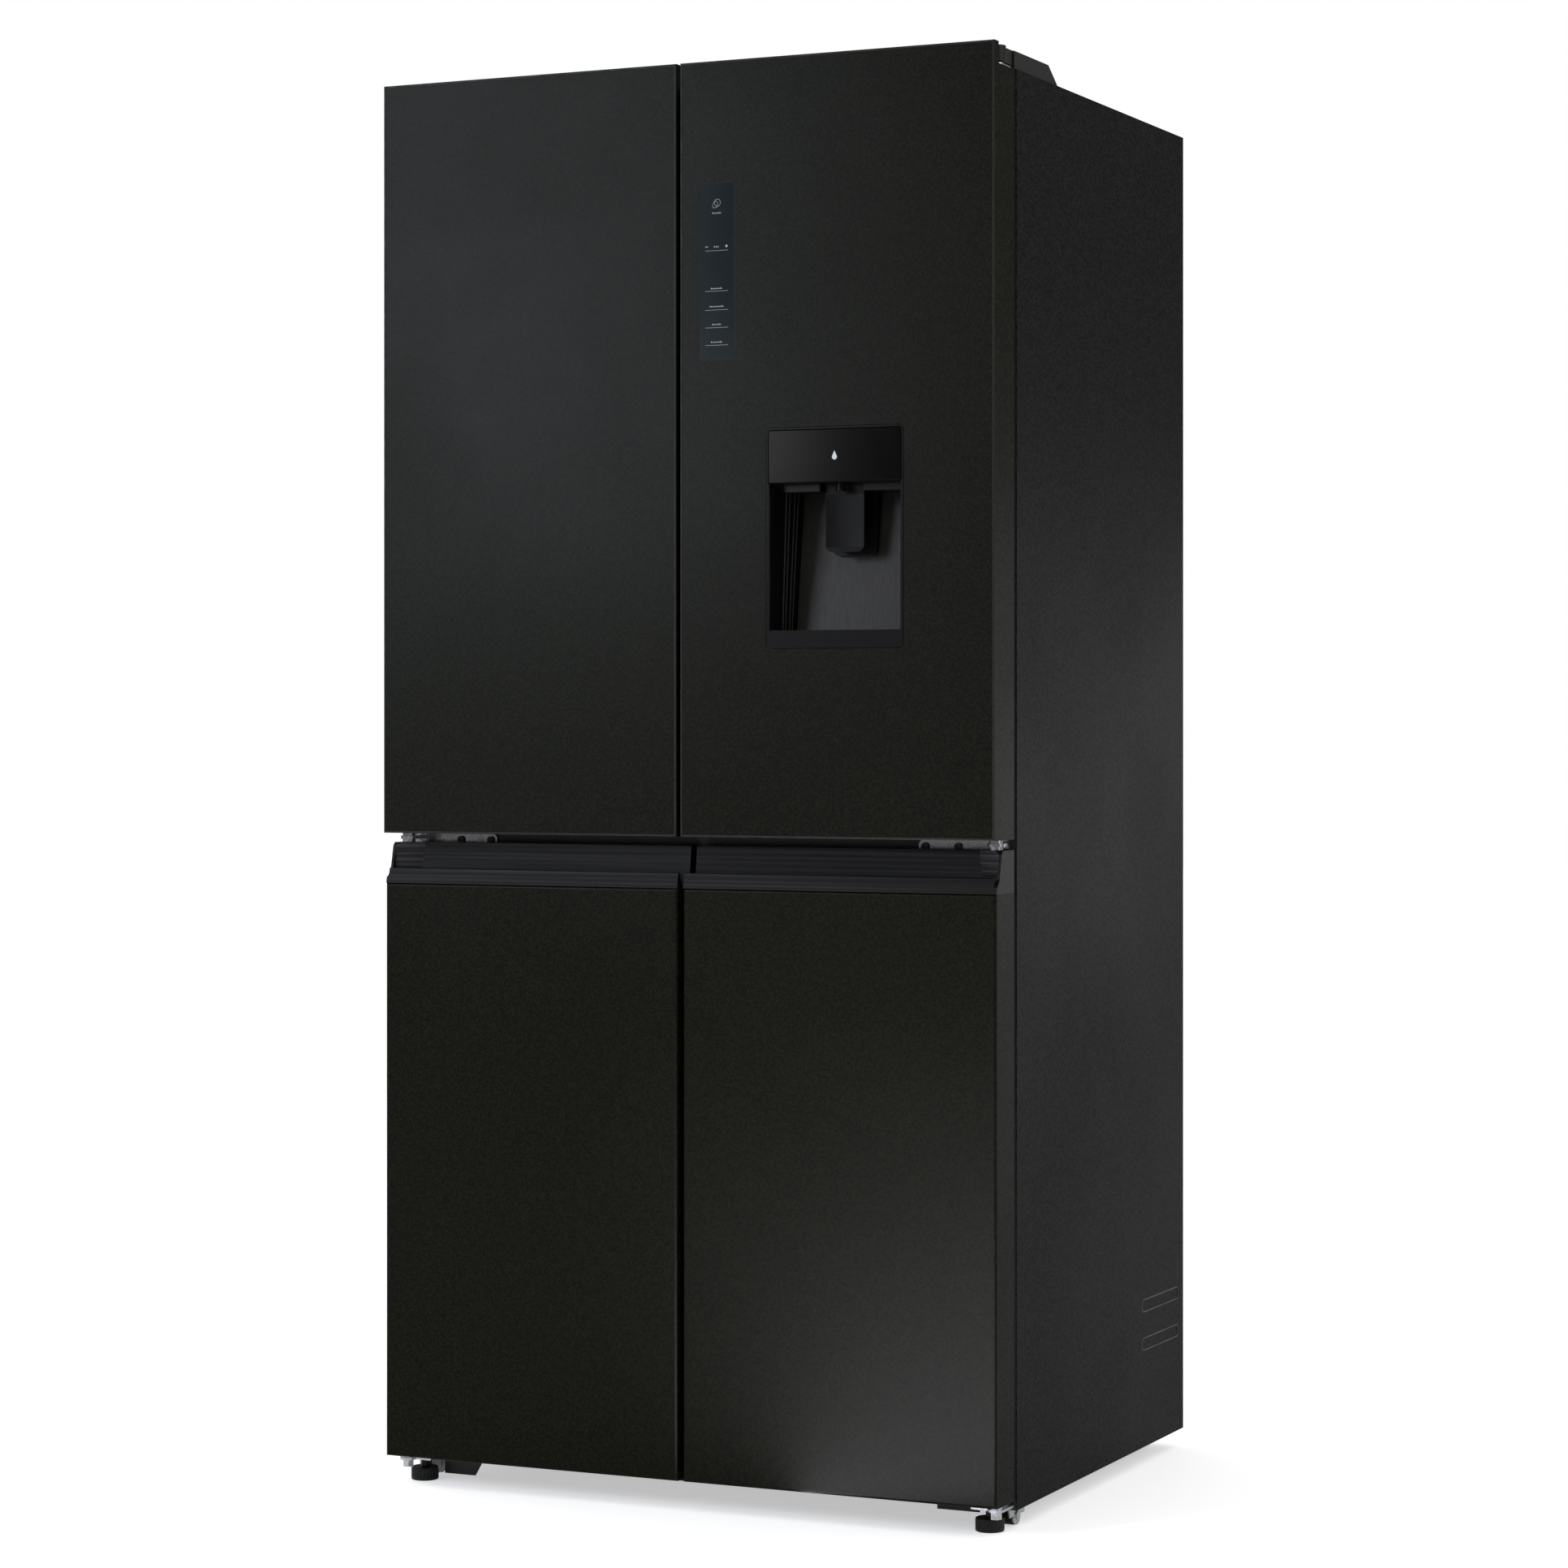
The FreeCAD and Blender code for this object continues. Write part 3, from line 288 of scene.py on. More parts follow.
MAT = {
    "case": pebbled_paint("case_paint", (0.0088, 0.0088, 0.0092), 0.44, specular=0.026, light=2.1),
    "door": pebbled_paint("door_paint", (0.0027, 0.0031, 0.0007), 0.36, specular=0.078),
    # painted shade: a copy of the door paint for the doors' edge faces, lighter in base colour and half as
    # glossy
    "door_edge_shade": pebbled_paint("door_edge_shade_paint", (0.0053, 0.0059, 0.0034), 0.42, specular=0.037),
    # partly real, partly painted highlight: a lighter metal for the bezel rim round the upper door fronts and
    # its rounded edge
    "rim": plated("door_rim_with_painted_highlight", (0.0185, 0.0192, 0.0160), 0.42, 0.35, 0.12),
    # painted highlight: a lighter metal for the rings along the edges of the long marks on the right side
    "mark_painted_highlight_rim": plated("carry_mark_painted_highlight_rim", (0.045, 0.045, 0.044), 0.4, 0.5),
    "grip": brushed_metal("grip_brushed", (0.0066, 0.0062, 0.0054), 0.42, 0.35, specular=0.11,
                          across=900.0, streak=0.85),
    "foam": foam_block("foam_core", (0.78, 0.68, 0.42)),
    "liner": moulded("liner_white", (0.70, 0.71, 0.72), 0.32, 900.0, 0.02, 0.45),
    "rail": pebbled_paint("rail_steel", (0.012, 0.012, 0.011), 0.45, specular=0.4, pebble=1500.0),
    "black": moulded("cover_black", (0.0100, 0.0100, 0.0088), 0.4, 1800.0, 0.03, 0.26),
    # near-black for real seams and the spout ring, and painted shade inside the dispenser's recess
    "black_and_shade": moulded("black_seams_and_painted_recess_shade", (0.0024, 0.0024, 0.0023), 0.3, 1800.0, 0.02, 0.10),
    "zinc": plated("zinc_plate", (0.55, 0.56, 0.57), 0.26),
    # painted shade: a darker copy of the zinc plate, for the middle hinges
    "hinge": plated("hinge_plate_painted_shade", (0.24, 0.24, 0.245), 0.22),
    "screw": plated("screw_black", (0.035, 0.035, 0.037), 0.32, 0.9),
    "sheet": plated("back_sheet", (0.30, 0.31, 0.32), 0.42, 0.8),
    "enamel": pebbled_paint("compressor_enamel", (0.010, 0.010, 0.011), 0.28, specular=0.5, pebble=500.0),
    "coil": plated("coil_metal", (0.55, 0.56, 0.58), 0.38),
    "copper": plated("copper_tube", (0.70, 0.32, 0.17), 0.3),
    "glass": clear("shelf_glass", (0.90, 0.97, 0.95), 0.02, 1.5),
    "clear": clear("clear_plastic", (0.90, 0.94, 0.96), 0.10, 1.3),
    "rubber": rubber("gasket_rubber", (0.010, 0.010, 0.0105)),
    "display": glossy("display_glass", (0.0036, 0.0078, 0.0090), 0.14, specular=0.046),
    "fascia": glossy("dispenser_gloss", (0.0008, 0.0008, 0.0008), 0.13, specular=0.080, haze=0.02),
    "housing": brushed_metal("dispenser_housing_finish", (0.0185, 0.0176, 0.0152), 0.42, 0.4,
                             upright=True, specular=0.26, streak=0.2),
    "frost": moulded("frosted_plastic", (0.50, 0.54, 0.56), 0.38, 900.0, 0.02, 0.4,
                     Transmission_Weight=0.25),
    # painted light: a much lighter copy of the channel's brushed finish, for its slanting ends
    "grip_end_painted_light": brushed_metal("grip_end_painted_light_brushed", (0.040, 0.040, 0.042), 0.42, 0.2, specular=0.11,
                              across=900.0, streak=0.6, slanted=True),
    "paddle": moulded("paddle_grain", (0.0025, 0.0024, 0.0020), 0.36, 1100.0, 0.06, 0.08),
    "mark": ink("printed_mark", (0.58, 0.63, 0.63), 0.04),
    "mark_dim": ink("printed_line", (0.18, 0.22, 0.22), 0.01),
    "lamp": lit("lamp_lens", (0.95, 0.97, 1.0), 0.5),
    "satin": brushed_metal("satin_trim", (0.66, 0.67, 0.68), 0.3, 1.0),
}

SLOT_MATERIAL = {
    "case_paint": "case", "door_paint": "door", "grip_metal": "grip", "foam": "foam", "liner_white": "liner",
    "rail_steel": "rail", "cover_black": "black", "zinc": "zinc", "screw_black": "screw",
    "back_sheet": "sheet", "compressor_black": "enamel", "coil_metal": "coil", "shelf_glass": "glass",
    "gasket_rubber": "rubber", "bin_clear": "clear", "display_glass": "display",
    "dispenser_gloss": "fascia", "dispenser_grey": "housing",
}


# ---- finishes on the CAD nodes ---------------------------------------------
def paint(name, key):
    """One finish on a whole node."""
    data = nodes[name].data
    data.materials.clear()
    data.materials.append(MAT[key])


def paint_faces(name, key, wanted):
    """A second finish on the faces whose centre and normal satisfy wanted."""
    data = nodes[name].data
    data.materials.append(MAT[key])
    index = len(data.materials) - 1
    for face in data.polygons:
        if wanted(face.center, face.normal):
            face.material_index = index


def add_bevel(thing, width_mm, segments=2):
    """A small bevel that catches the light on sharp edges."""
    bevel = thing.modifiers.new("edge", "BEVEL")
    bevel.width = width_mm * MM
    bevel.segments = segments
    bevel.limit_method = "ANGLE"
    bevel.angle_limit = SMOOTH_ANGLE


def finish_doors():
    """The edges of the doors, the rim round the upper fronts and the ends of the channels. The door edges get
    a copy of the door paint as painted shade. The rim is a real bezel painted lighter, partly as a painted
    highlight. The slanting channel ends get a lighter copy of the brushed finish as painted light.
    """
    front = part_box("upper_left_panel")[0].y
    rim_flat = front + 0.45 * MM
    rim_round = front + 1.4 * MM
    for name in ("upper_left_panel", "upper_right_panel"):
        # painted shade: the sides, top and bottom of the upper doors get the edge copy of the door paint
        paint_faces(name, "door_edge_shade", lambda c, n: abs(n.x) > 0.7 or abs(n.z) > 0.7)
        # the rim and its rounded edge are a real bezel, painted lighter as a painted highlight too
        paint_faces(name, "rim", lambda c, n: c.y < rim_flat or (c.y < rim_round and abs(n.y) < 0.98))
    for name in ("lower_left_panel", "lower_right_panel"):
        # painted shade: the sides of the lower doors get the edge copy of the door paint
        paint_faces(name, "door_edge_shade", lambda c, n: abs(n.x) > 0.9)
    # painted light: the slanting end of each channel gets a much lighter copy of the brushed finish, though
    # it turns away from the light
    for name in ("lower_left_handle", "lower_right_handle"):
        paint_faces(name, "grip_end_painted_light", lambda c, n: 0.3 < abs(n.x) < 0.9 and n.y < -0.3)


def finish_recess():
    """The lip, sides, ceiling and paddle stop of the dispenser's recess; the sides, ceiling and stop are
    painted near-black as painted shade.
    """
    name = "dispenser_housing"
    low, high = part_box(name)
    lip = low.y + 2 * MM
    soffit = high.z - SOFFIT_DROP * MM
    paint_faces(name, "paddle", lambda c, n: c.y < lip and n.y < -0.5)
    # painted shade: the recess's side walls, undersides and ceiling go near-black, its slanting side walls
    # black
    paint_faces(name, "black_and_shade", lambda c, n: (abs(n.x) > 0.8 or n.z < -0.9) and c.y > lip)
    paint_faces(name, "black", lambda c, n: 0.15 < abs(n.x) <= 0.8 and c.y > lip)
    paint_faces(name, "black_and_shade", lambda c, n: c.z > soffit and c.y > lip)
    # the paddle's stop is painted near-black as a painted shadow of the paddle; it stands upright, and the
    # recess's back wall leans
    middle = (low.x + high.x) / 2
    stop_half = 31.6 * MM
    stop_front = low.y + 57 * MM
    stop_low = low.z + 112 * MM
    stop_high = high.z - 59 * MM
    paint_faces(name, "black_and_shade", lambda c, n: abs(c.x - middle) < stop_half and c.y > stop_front and
                stop_low < c.z < stop_high and not 0.1 < n.z < 0.2)


def finish_nodes():
    for entry in frame["record"]["subparts"]:
        paint(entry["node"], SLOT_MATERIAL[entry["material_slot"]])
    paint("dispenser_paddle", "paddle")
    # painted shade: the middle hinges get the darker copy of the zinc
    paint("mid_hinges", "hinge")
    finish_doors()
    finish_recess()


finish_nodes()


# ---- mesh code -------------------------------------------------------------
def rounded_rect(a0, a1, b0, b1, radius, steps=4):
    """Outline of a rectangle with round corners."""
    points = []
    for a, b, start in ((a1 - radius, b1 - radius, 0), (a0 + radius, b1 - radius, 90),
                        (a0 + radius, b0 + radius, 180), (a1 - radius, b0 + radius, 270)):
        for step in range(steps + 1):
            turn = math.radians(start + 90 * step / steps)
            points.append((a + radius * math.cos(turn), b + radius * math.sin(turn)))
    return points


class Sketch:
    """Collects solids, given in millimetres in the CAD frame, and turns them into one piece."""

    def __init__(self):
        self.bm = bmesh.new()

    def vertex(self, axis, along, a, b):
        """A vertex at along on the axis and a, b on the two other axes."""
        place = {"x": (along, a, b), "y": (a, along, b), "z": (a, b, along)}[axis]
        return self.bm.verts.new([value * MM for value in place])

    def skin(self, rings, loop=False):
        """Joins rings of vertices into a solid; without loop its ends are capped."""
        count = len(rings[0])
        pairs = list(zip(rings, rings[1:]))
        if loop:
            pairs.append((rings[-1], rings[0]))
        for first, second in pairs:
            for i in range(count):
                j = (i + 1) % count
                self.bm.faces.new((first[i], first[j], second[j], second[i]))
        if not loop:
            self.bm.faces.new(rings[0])
            self.bm.faces.new(rings[-1])

    def prism(self, outline, axis, low, high):
        """An outline in the two other axes, pushed along an axis."""
        self.skin([[self.vertex(axis, along, a, b) for a, b in outline] for along in (low, high)])

    def band(self, axis, rect, radius, width, low, high):
        """A flat ring with round corners, width wide and inside the rectangle."""
        a0, a1, b0, b1 = rect
        outer = rounded_rect(a0, a1, b0, b1, radius, 6)
        inner = rounded_rect(a0 + width, a1 - width, b0 + width, b1 - width, max(radius - width, 0.3), 6)
        rings = []
        for outline, along in ((outer, low), (outer, high), (inner, high), (inner, low)):
            rings.append([self.vertex(axis, along, a, b) for a, b in outline])
        self.skin(rings, loop=True)

    def frame(self, axis, rect, profile):
        """A closed profile of (inset, along) points, swept round a rectangle with mitred corners."""
        a0, a1, b0, b1 = rect
        rings = []
        for a, b, turn_a, turn_b in ((a0, b0, 1, 1), (a1, b0, -1, 1), (a1, b1, -1, -1), (a0, b1, 1, -1)):
            rings.append([self.vertex(axis, along, a + turn_a * inset, b + turn_b * inset)
                          for inset, along in profile])
        self.skin(rings, loop=True)

    def lathe(self, axis, centre, profile, sides=24):
        """A profile of (radius, along) points, turned round an axis."""
        rings = []
        for radius, along in profile:
            ring = []
            for side in range(sides):
                turn = 2 * math.pi * side / sides
                ring.append(self.vertex(axis, along, centre[0] + radius * math.cos(turn),
                                        centre[1] + radius * math.sin(turn)))
            rings.append(ring)
        self.skin(rings)

    def tube(self, points, radius, sides=12):
        """A round bar along a path of (x, y, z) points."""
        path = [Vector(point) for point in points]
        side = None
        rings = []
        for index, point in enumerate(path):
            before = path[max(index - 1, 0)]
            after = path[min(index + 1, len(path) - 1)]
            along = (after - before).normalized()
            if side is None:
                side = along.orthogonal().normalized()
            side = (side - along * side.dot(along)).normalized()
            other = along.cross(side)
            ring = []
            for step in range(sides):
                turn = 2 * math.pi * step / sides
                place = point + radius * (side * math.cos(turn) + other * math.sin(turn))
                ring.append(self.bm.verts.new(place * MM))
            rings.append(ring)
        self.skin(rings)

    def piece(self, name, key, body, bevel_mm=0.0, segments=2):
        """Ends the sketch: one named object with a finish, riding on a body."""
        bmesh.ops.recalc_face_normals(self.bm, faces=self.bm.faces)
        for edge in self.bm.edges:
            edge.smooth = len(edge.link_faces) == 2 and edge.calc_face_angle(0.0) < SMOOTH_ANGLE
        for face in self.bm.faces:
            face.smooth = True
        mesh = bpy.data.meshes.new(name)
        self.bm.to_mesh(mesh)
        self.bm.free()
        mesh.materials.append(MAT[key])
        thing = bpy.data.objects.new(name, mesh)
        bpy.context.scene.collection.objects.link(thing)
        if bevel_mm:
            add_bevel(thing, bevel_mm, segments)
        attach(thing, body)


def corners(name):
    """A node's box in millimetres: x0, x1, y0, y1, z0, z1."""
    low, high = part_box(name)
    return tuple(value / MM for value in (low.x, high.x, low.y, high.y, low.z, high.z))


def islands(name):
    """The same box for each separate solid of a node, from the bottom up."""
    mesh = nodes[name].data
    keys = [tuple(round(value, 5) for value in vertex.co) for vertex in mesh.vertices]
    parent = {key: key for key in keys}

    def root(key):
        while parent[key] != key:
            parent[key] = parent[parent[key]]
            key = parent[key]
        return key

    for edge in mesh.edges:
        first, second = (root(keys[index]) for index in edge.vertices)
        parent[first] = second
    groups = {}
    for key in parent:
        groups.setdefault(root(key), []).append(key)
    boxes = []
    for group in groups.values():
        axes = list(zip(*group))
        boxes.append(tuple(value / MM for axis in axes for value in (min(axis), max(axis))))
    return sorted(boxes, key=lambda box: (box[4], box[0]))


# ---- control display and dispenser --------------------------------------------
def word(sketch, middle, z, letters, front):
    """A row of small blocks that stands for a printed word."""
    start = middle - WORD_STEP * (letters - 1) / 2
    for index in range(letters):
        x = start + WORD_STEP * index
        top = WORD_TALL if index in (0, letters - 2) else WORD_TALL * 0.72
        block = rounded_rect(x - WORD_WIDE / 2, x + WORD_WIDE / 2, z, z + top, 0.3, 2)
        sketch.prism(block, "y", *front)


def leaf(middle, z, face, size, turn):
    """The outline of a leaf as a closed path, turned by an angle in radians."""
    steps = 24
    path = []
    for step in range(steps + 1):
        t = 2 * math.pi * step / steps
        a = 5.2 * size * math.cos(t)
        b = 2.9 * size * math.sin(t) * (1.15 + 0.35 * math.cos(t))
        path.append((middle + a * math.cos(turn) - b * math.sin(turn), face,
                     z + a * math.sin(turn) + b * math.cos(turn)))
    return path


def control_marks():
    """An icon, a plus and minus row and four key legends, as generic marks without words."""
    body = "upper_right_door"
    x0, x1, face, _, z0, z1 = corners("control_display")
    front = (face - 0.06, face + PRINT_RISE)
    middle = (x0 + x1) / 2
    marks = Sketch()
    for turn, size in ((0.75, 1.2), (1.95, 0.6)):
        marks.tube(leaf(middle - 0.5, z1 - ICON_DROP, face, size, turn), 0.15, 8)
    word(marks, middle, z1 - ICON_WORD_DROP, 7, front)
    row_z = z1 - SETTING_DROP
    word(marks, middle, row_z - 1.2, 4, front)
    reach, half = 1.9, 0.3
    minus_x, plus_x = x0 + 11.2, x1 - 11.2
    for x in (minus_x, plus_x):
        marks.prism(rounded_rect(x - reach, x + reach, row_z - half, row_z + half, 0.25, 2), "y", *front)
    upright = rounded_rect(plus_x - half, plus_x + half, row_z - reach, row_z + reach, 0.25, 2)
    marks.prism(upright, "y", face - 0.07, face + PRINT_RISE)
    for drop, letters in LEGENDS:
        word(marks, middle, z1 - drop, letters, front)
    marks.piece("control_marks", "mark", body)
    lines = Sketch()
    for drop in LINE_DROPS:
        z = z1 - drop
        lines.prism(rounded_rect(x0 + 9.4, x1 - 9.0, z - 0.25, z + 0.25, 0.2, 2), "y", *front)
    lines.piece("control_lines", "mark_dim", body)
    seam = Sketch()
    rect = (x0 + 0.05, x1 - 0.05, z0 + 0.05, z1 - 0.05)
    seam.band("y", rect, 4.0, 0.75, face - 0.15, face + PRINT_RISE)
    seam.piece("display_seam", "black_and_shade", body)


def water_icon():
    """A drop on the fascia, in place of a word."""
    x0, x1, face, _, z0, z1 = corners("dispenser_fascia")
    middle = (x0 + x1) / 2
    centre_z = (z0 + z1) / 2 - 2.0
    outline = [(middle, centre_z + 2.3 * DROP_RADIUS)]
    steps = 20
    for step in range(steps + 1):
        turn = math.radians(150 + 240 * step / steps)
        outline.append((middle + DROP_RADIUS * math.cos(turn), centre_z + DROP_RADIUS * math.sin(turn)))
    drop = Sketch()
    drop.prism(outline, "y", face - 0.06, face + PRINT_RISE)
    drop.piece("water_icon", "mark", "upper_right_door")


def dispenser_details():
    """The seam round the dispenser, the spout's ring and the drip grille."""
    body = "upper_right_door"
    fx0, fx1, _, _, fz0, _ = corners("dispenser_fascia")
    x0, x1, y0, _, z0, z1 = corners("dispenser_housing")
    edge = Sketch()
    edge.band("y", (x0 + 0.05, x1 - 0.05, z0 + 0.05, z1 - 0.05), 5.0, 1.5, y0 - 0.25, y0 + 0.1)
    edge.piece("dispenser_edge", "black_and_shade", body, 0.1)
    ring = Sketch()
    low = fz0 - SPOUT_BELOW_FASCIA
    ring.lathe("z", ((fx0 + fx1) / 2, y0 + SPOUT_SETBACK),
               [(3.3, low + 3), (3.3, low), (5.4, low), (6.1, low + 0.7), (6.1, low + 4)])
    ring.piece("spout_ring", "black_and_shade", body)

    # the grille lies in the shallow well of the recess's floor
    grille = Sketch()
    top = z0 + 20.9
    gx0, gx1, gy0, gy1 = x0 + 22.6, x1 - 22.6, y0 + 8.0, y0 + 44.8
    grille.frame("z", (gx0, gx1, gy0, gy1), [(0, top - 2.2), (0, top), (2.6, top), (2.6, top - 2.2)])
    for index in range(GRILLE_SLATS):
        x = gx0 + 6 + (gx1 - gx0 - 12) * index / (GRILLE_SLATS - 1)
        slat = rounded_rect(x - 2.1, x + 2.1, gy0 + 1, gy1 - 1, 1.2, 3)
        grille.prism(slat, "z", top - 1.8, top - 0.3)
    grille.piece("drip_grille", "black", body, 0.25)


# ---- doors ---------------------------------------------------------------------
def gasket_folds(door):
    """The bellows on both sides of the magnetic bulb."""
    x0, x1, y0, y1, z0, z1 = corners(door + "_gasket")
    folds = Sketch()
    top = y1 - 0.4
    inner = [(12.2, y0 + 2.8), (15.6, y0 + 2.8), (13.9, y0 + 4.0), (15.4, y0 + 5.0), (13.7, y0 + 6.1),
             (14.7, y0 + 7.0), (12.2, top)]
    outer = [(3.8, y0 + 2.8), (0.5, y0 + 2.8), (2.2, y0 + 4.0), (0.9, y0 + 5.0), (2.4, y0 + 6.1),
             (1.6, y0 + 7.0), (3.8, top)]
    for profile in (inner, outer):
        folds.frame("y", (x0, x1, z0, z1), profile)
    folds.piece(door + "_gasket_folds", "rubber", door + "_door", 0.2)


def door_liner_relief(door, bins):
    """Raised fields inside the dyke, with two upright beads, and the ledges that carry the bins."""
    gx0, gx1, y0, _, _, _ = corners(door + "_gasket")
    if gx1 < 0:
        x0 = gx0 + FIELD_NEAR
        x1 = x0 + FIELD_WIDE
    else:
        x1 = gx1 - FIELD_NEAR
        x0 = x1 - FIELD_WIDE
    z0, z1 = corners("fridge_liner" if door.startswith("upper") else "lower_liners")[4:]
    z0, z1 = z0 + DOOR_DYKE, z1 - DOOR_DYKE
    fields = [(z0, z1)]
    if door == "upper_right":
        recess_z0 = corners("dispenser_housing")[4]
        lid_z1 = corners("tank_lid")[5]
        fields = [(z0, recess_z0 - 4), (lid_z1 + 8, z1)]
    relief = Sketch()
    for low, high in fields:
        relief.prism(rounded_rect(x0 + 9, x1 - 9, low + 9, high - 9, 14, 6), "y", y0 - 0.5, y0 + 1.0)
        for share in (0.25, 0.75):
            x = x0 + (x1 - x0) * share
            relief.prism(rounded_rect(x - 5, x + 5, low + 30, high - 30, 4.9, 6), "y", y0, y0 + 1.7)
    relief.piece(door + "_liner_relief", "liner", door + "_door", 0.6, 3)
    if not bins:
        return
    ledges = Sketch()
    for bx0, bx1, by0, _, bz0, _ in islands(bins):
        for x, inward in ((bx0, 1), (bx1, -1)):
            ends = sorted((x - inward * 1.2, x + inward * 9))
            ledges.prism(rounded_rect(*ends, bz0 - 17, bz0 - 1.2, 3, 4), "y", y0 - 0.5, by0 + 17)
    ledges.piece(door + "_bin_ledges", "liner", door + "_door", 0.8, 3)


def bin_rails(bins, body):
    """A trim over the outer wall of each door bin and a low raised band on its face."""
    rails = Sketch()
    for x0, x1, _, y1, _, z1 in islands(bins):
        profile = rounded_rect(y1 - 4.0, y1 + 1.4, z1 - 11, z1 + 1.4, 1.3, 3)
        rails.prism(profile, "x", x0 + 5, x1 - 5)
    rails.piece(bins + "_rails", "satin", body, 0.4)
    bands = Sketch()
    for x0, x1, _, y1, z0, _ in islands(bins):
        bands.prism(rounded_rect(x0 + 12, x1 - 12, z0 + 12, z0 + 44, 5, 5), "y", y1 - 0.3, y1 + 0.9)
    bands.piece(bins + "_bands", "frost", body, 0.4)


# ---- drawers and shelves -----------------------------------------------------------
def drawer_front(name):
    """A frosted front plate, a trim over the top edge and the lip of the grip."""
    x0, x1, y0, _, z0, z1 = corners(name)
    plate = Sketch()
    plate.prism(rounded_rect(x0 + 5, x1 - 5, z0 + 5, z1 - 36, 8, 6), "y", y0 - 1.6, y0 + 0.4)
    plate.piece(name + "_front", "frost", name, 0.7, 3)
    trim = Sketch()
    trim.prism(rounded_rect(y0 - 2.0, y0 + 9.2, z1 - 8.5, z1 + 1.6, 1.8, 4), "x", x0 + 4, x1 - 4)
    lip = [(y0 - 3.2, z1 - 33), (y0 + 1, z1 - 33), (y0 + 1, z1 - 30.5), (y0 - 1.6, z1 - 30.5),
           (y0 - 2.2, z1 - 28), (y0 - 3.2, z1 - 28)]
    trim.prism(lip, "x", x0 + 56, x1 - 56)
    trim.piece(name + "_trim", "liner", name, 0.5)


def shelf_trims():
    """Trims over the front, rear and side edges of the glass shelves."""
    front = Sketch()
    rear = Sketch()
    sides = Sketch()
    for x0, x1, y0, y1, z0, z1 in islands("glass_shelves"):
        front.prism(rounded_rect(y0 - 2.4, y0 + 10, z0 - 2.6, z1 + 1.4, 1.6, 4), "x", x0 + 1, x1 - 1)
        rear.prism(rounded_rect(y1 - 9, y1 + 1.5, z0 - 2.0, z1 + 6, 1.4, 4), "x", x0 + 8, x1 - 8)
        for x in (x0 + 5.5, x1 - 5.5):
            sides.prism(rounded_rect(x - 5, x + 5, y0 + 10.4, y1 - 9.4, 1.5, 3), "z", z1 - 0.2, z1 + 1.6)
    front.piece("shelf_front_trims", "satin", "cabinet", 0.4)
    rear.piece("shelf_rear_trims", "liner", "cabinet", 0.4)
    sides.piece("shelf_side_trims", "liner", "cabinet", 0.4)


def lamps():
    """A ceiling lamp in a bezel and two light strips on the air duct, which has a rim."""
    _, _, liner_y0, liner_y1, _, liner_z1 = corners("fridge_liner")
    ceiling = liner_z1 - 2.0
    y0, y1 = liner_y0 + 130, liner_y0 + 172
    bezel = Sketch()
    rect = (-LAMP_HALF - 8, LAMP_HALF + 8, y0 - 8, y1 + 8)
    bezel.frame("z", rect, [(0, ceiling + 0.5), (0, ceiling - 3), (1.5, ceiling - 4.5),
                            (7.8, ceiling - 4.5), (7.8, ceiling + 0.5)])
    bezel.piece("ceiling_lamp_bezel", "liner", "cabinet", 0.5)
    lens = Sketch()
    lens.prism(rounded_rect(-LAMP_HALF, LAMP_HALF, y0, y1, 3, 4), "z", ceiling - 3.6, ceiling + 0.5)
    lens.piece("ceiling_lamp_lens", "lamp", "cabinet", 0.6)
    duct_z1 = corners("air_ducts")[5]
    face = liner_y1 - 20.0
    strips = Sketch()
    for x in (-STRIP_X, STRIP_X):
        outline = rounded_rect(x - 5, x + 5, duct_z1 - 520, duct_z1 - 40, 4.8, 6)
        strips.prism(outline, "y", face - 1.2, face + 0.4)
    strips.piece("duct_light_strips", "lamp", "cabinet", 0.4)
    rim = Sketch()
    rect = (-DUCT_HALF, DUCT_HALF, duct_z1 - DUCT_TALL, duct_z1 + 1.0)
    rim.frame("y", rect, [(0, face + 4), (0, face - 0.6), (1.2, face - 1.6), (6, face - 1.6),
                          (7, face + 0.4)])
    rim.piece("duct_rim", "liner", "cabinet", 0.4)


def flap_plate():
    """The steel face that the door seals meet when the mullion is unfolded."""
    x0, x1, y0, y1, z0, z1 = corners("mullion_flap")
    plate = Sketch()
    plate.prism(rounded_rect(y0 + 12, y1 - 1.5, z0 + 6, z1 - 6, 2, 4), "x", x1 - 0.3, x1 + 0.35)
    plate.piece("mullion_face", "rail", "mullion_flap", 0.15)
    caps = Sketch()
    for low, high in ((z0 + 12.4, z0 + 30), (z1 - 30, z1 - 12.4)):
        caps.prism(rounded_rect(x0 - 0.5, x1 - 0.2, y1 - 20, y1 + 0.6, 1.4, 4), "z", low, high)
    caps.piece("mullion_guides", "black", "mullion_flap", 0.3)


# ---- back, top and machine room -------------------------------------------------------
def screw_head(sketch, axis, centre, face, out, radius=4.0):
    """A low pan head with a round socket; out is +1 or -1 along the axis."""
    top = face + out * SCREW_RISE
    profile = [(1.3, face + out * 0.5), (1.6, top), (radius * 0.7, top),
               (radius * 0.94, face + out * SCREW_RISE * 0.7), (radius, face + out * 0.1),
               (radius, face - out * 0.3)]
    sketch.lathe(axis, centre, profile, 20)


def spread(low, high, count):
    """Evenly spaced places from low to high."""
    return [low + (high - low) * index / (count - 1) for index in range(count)]


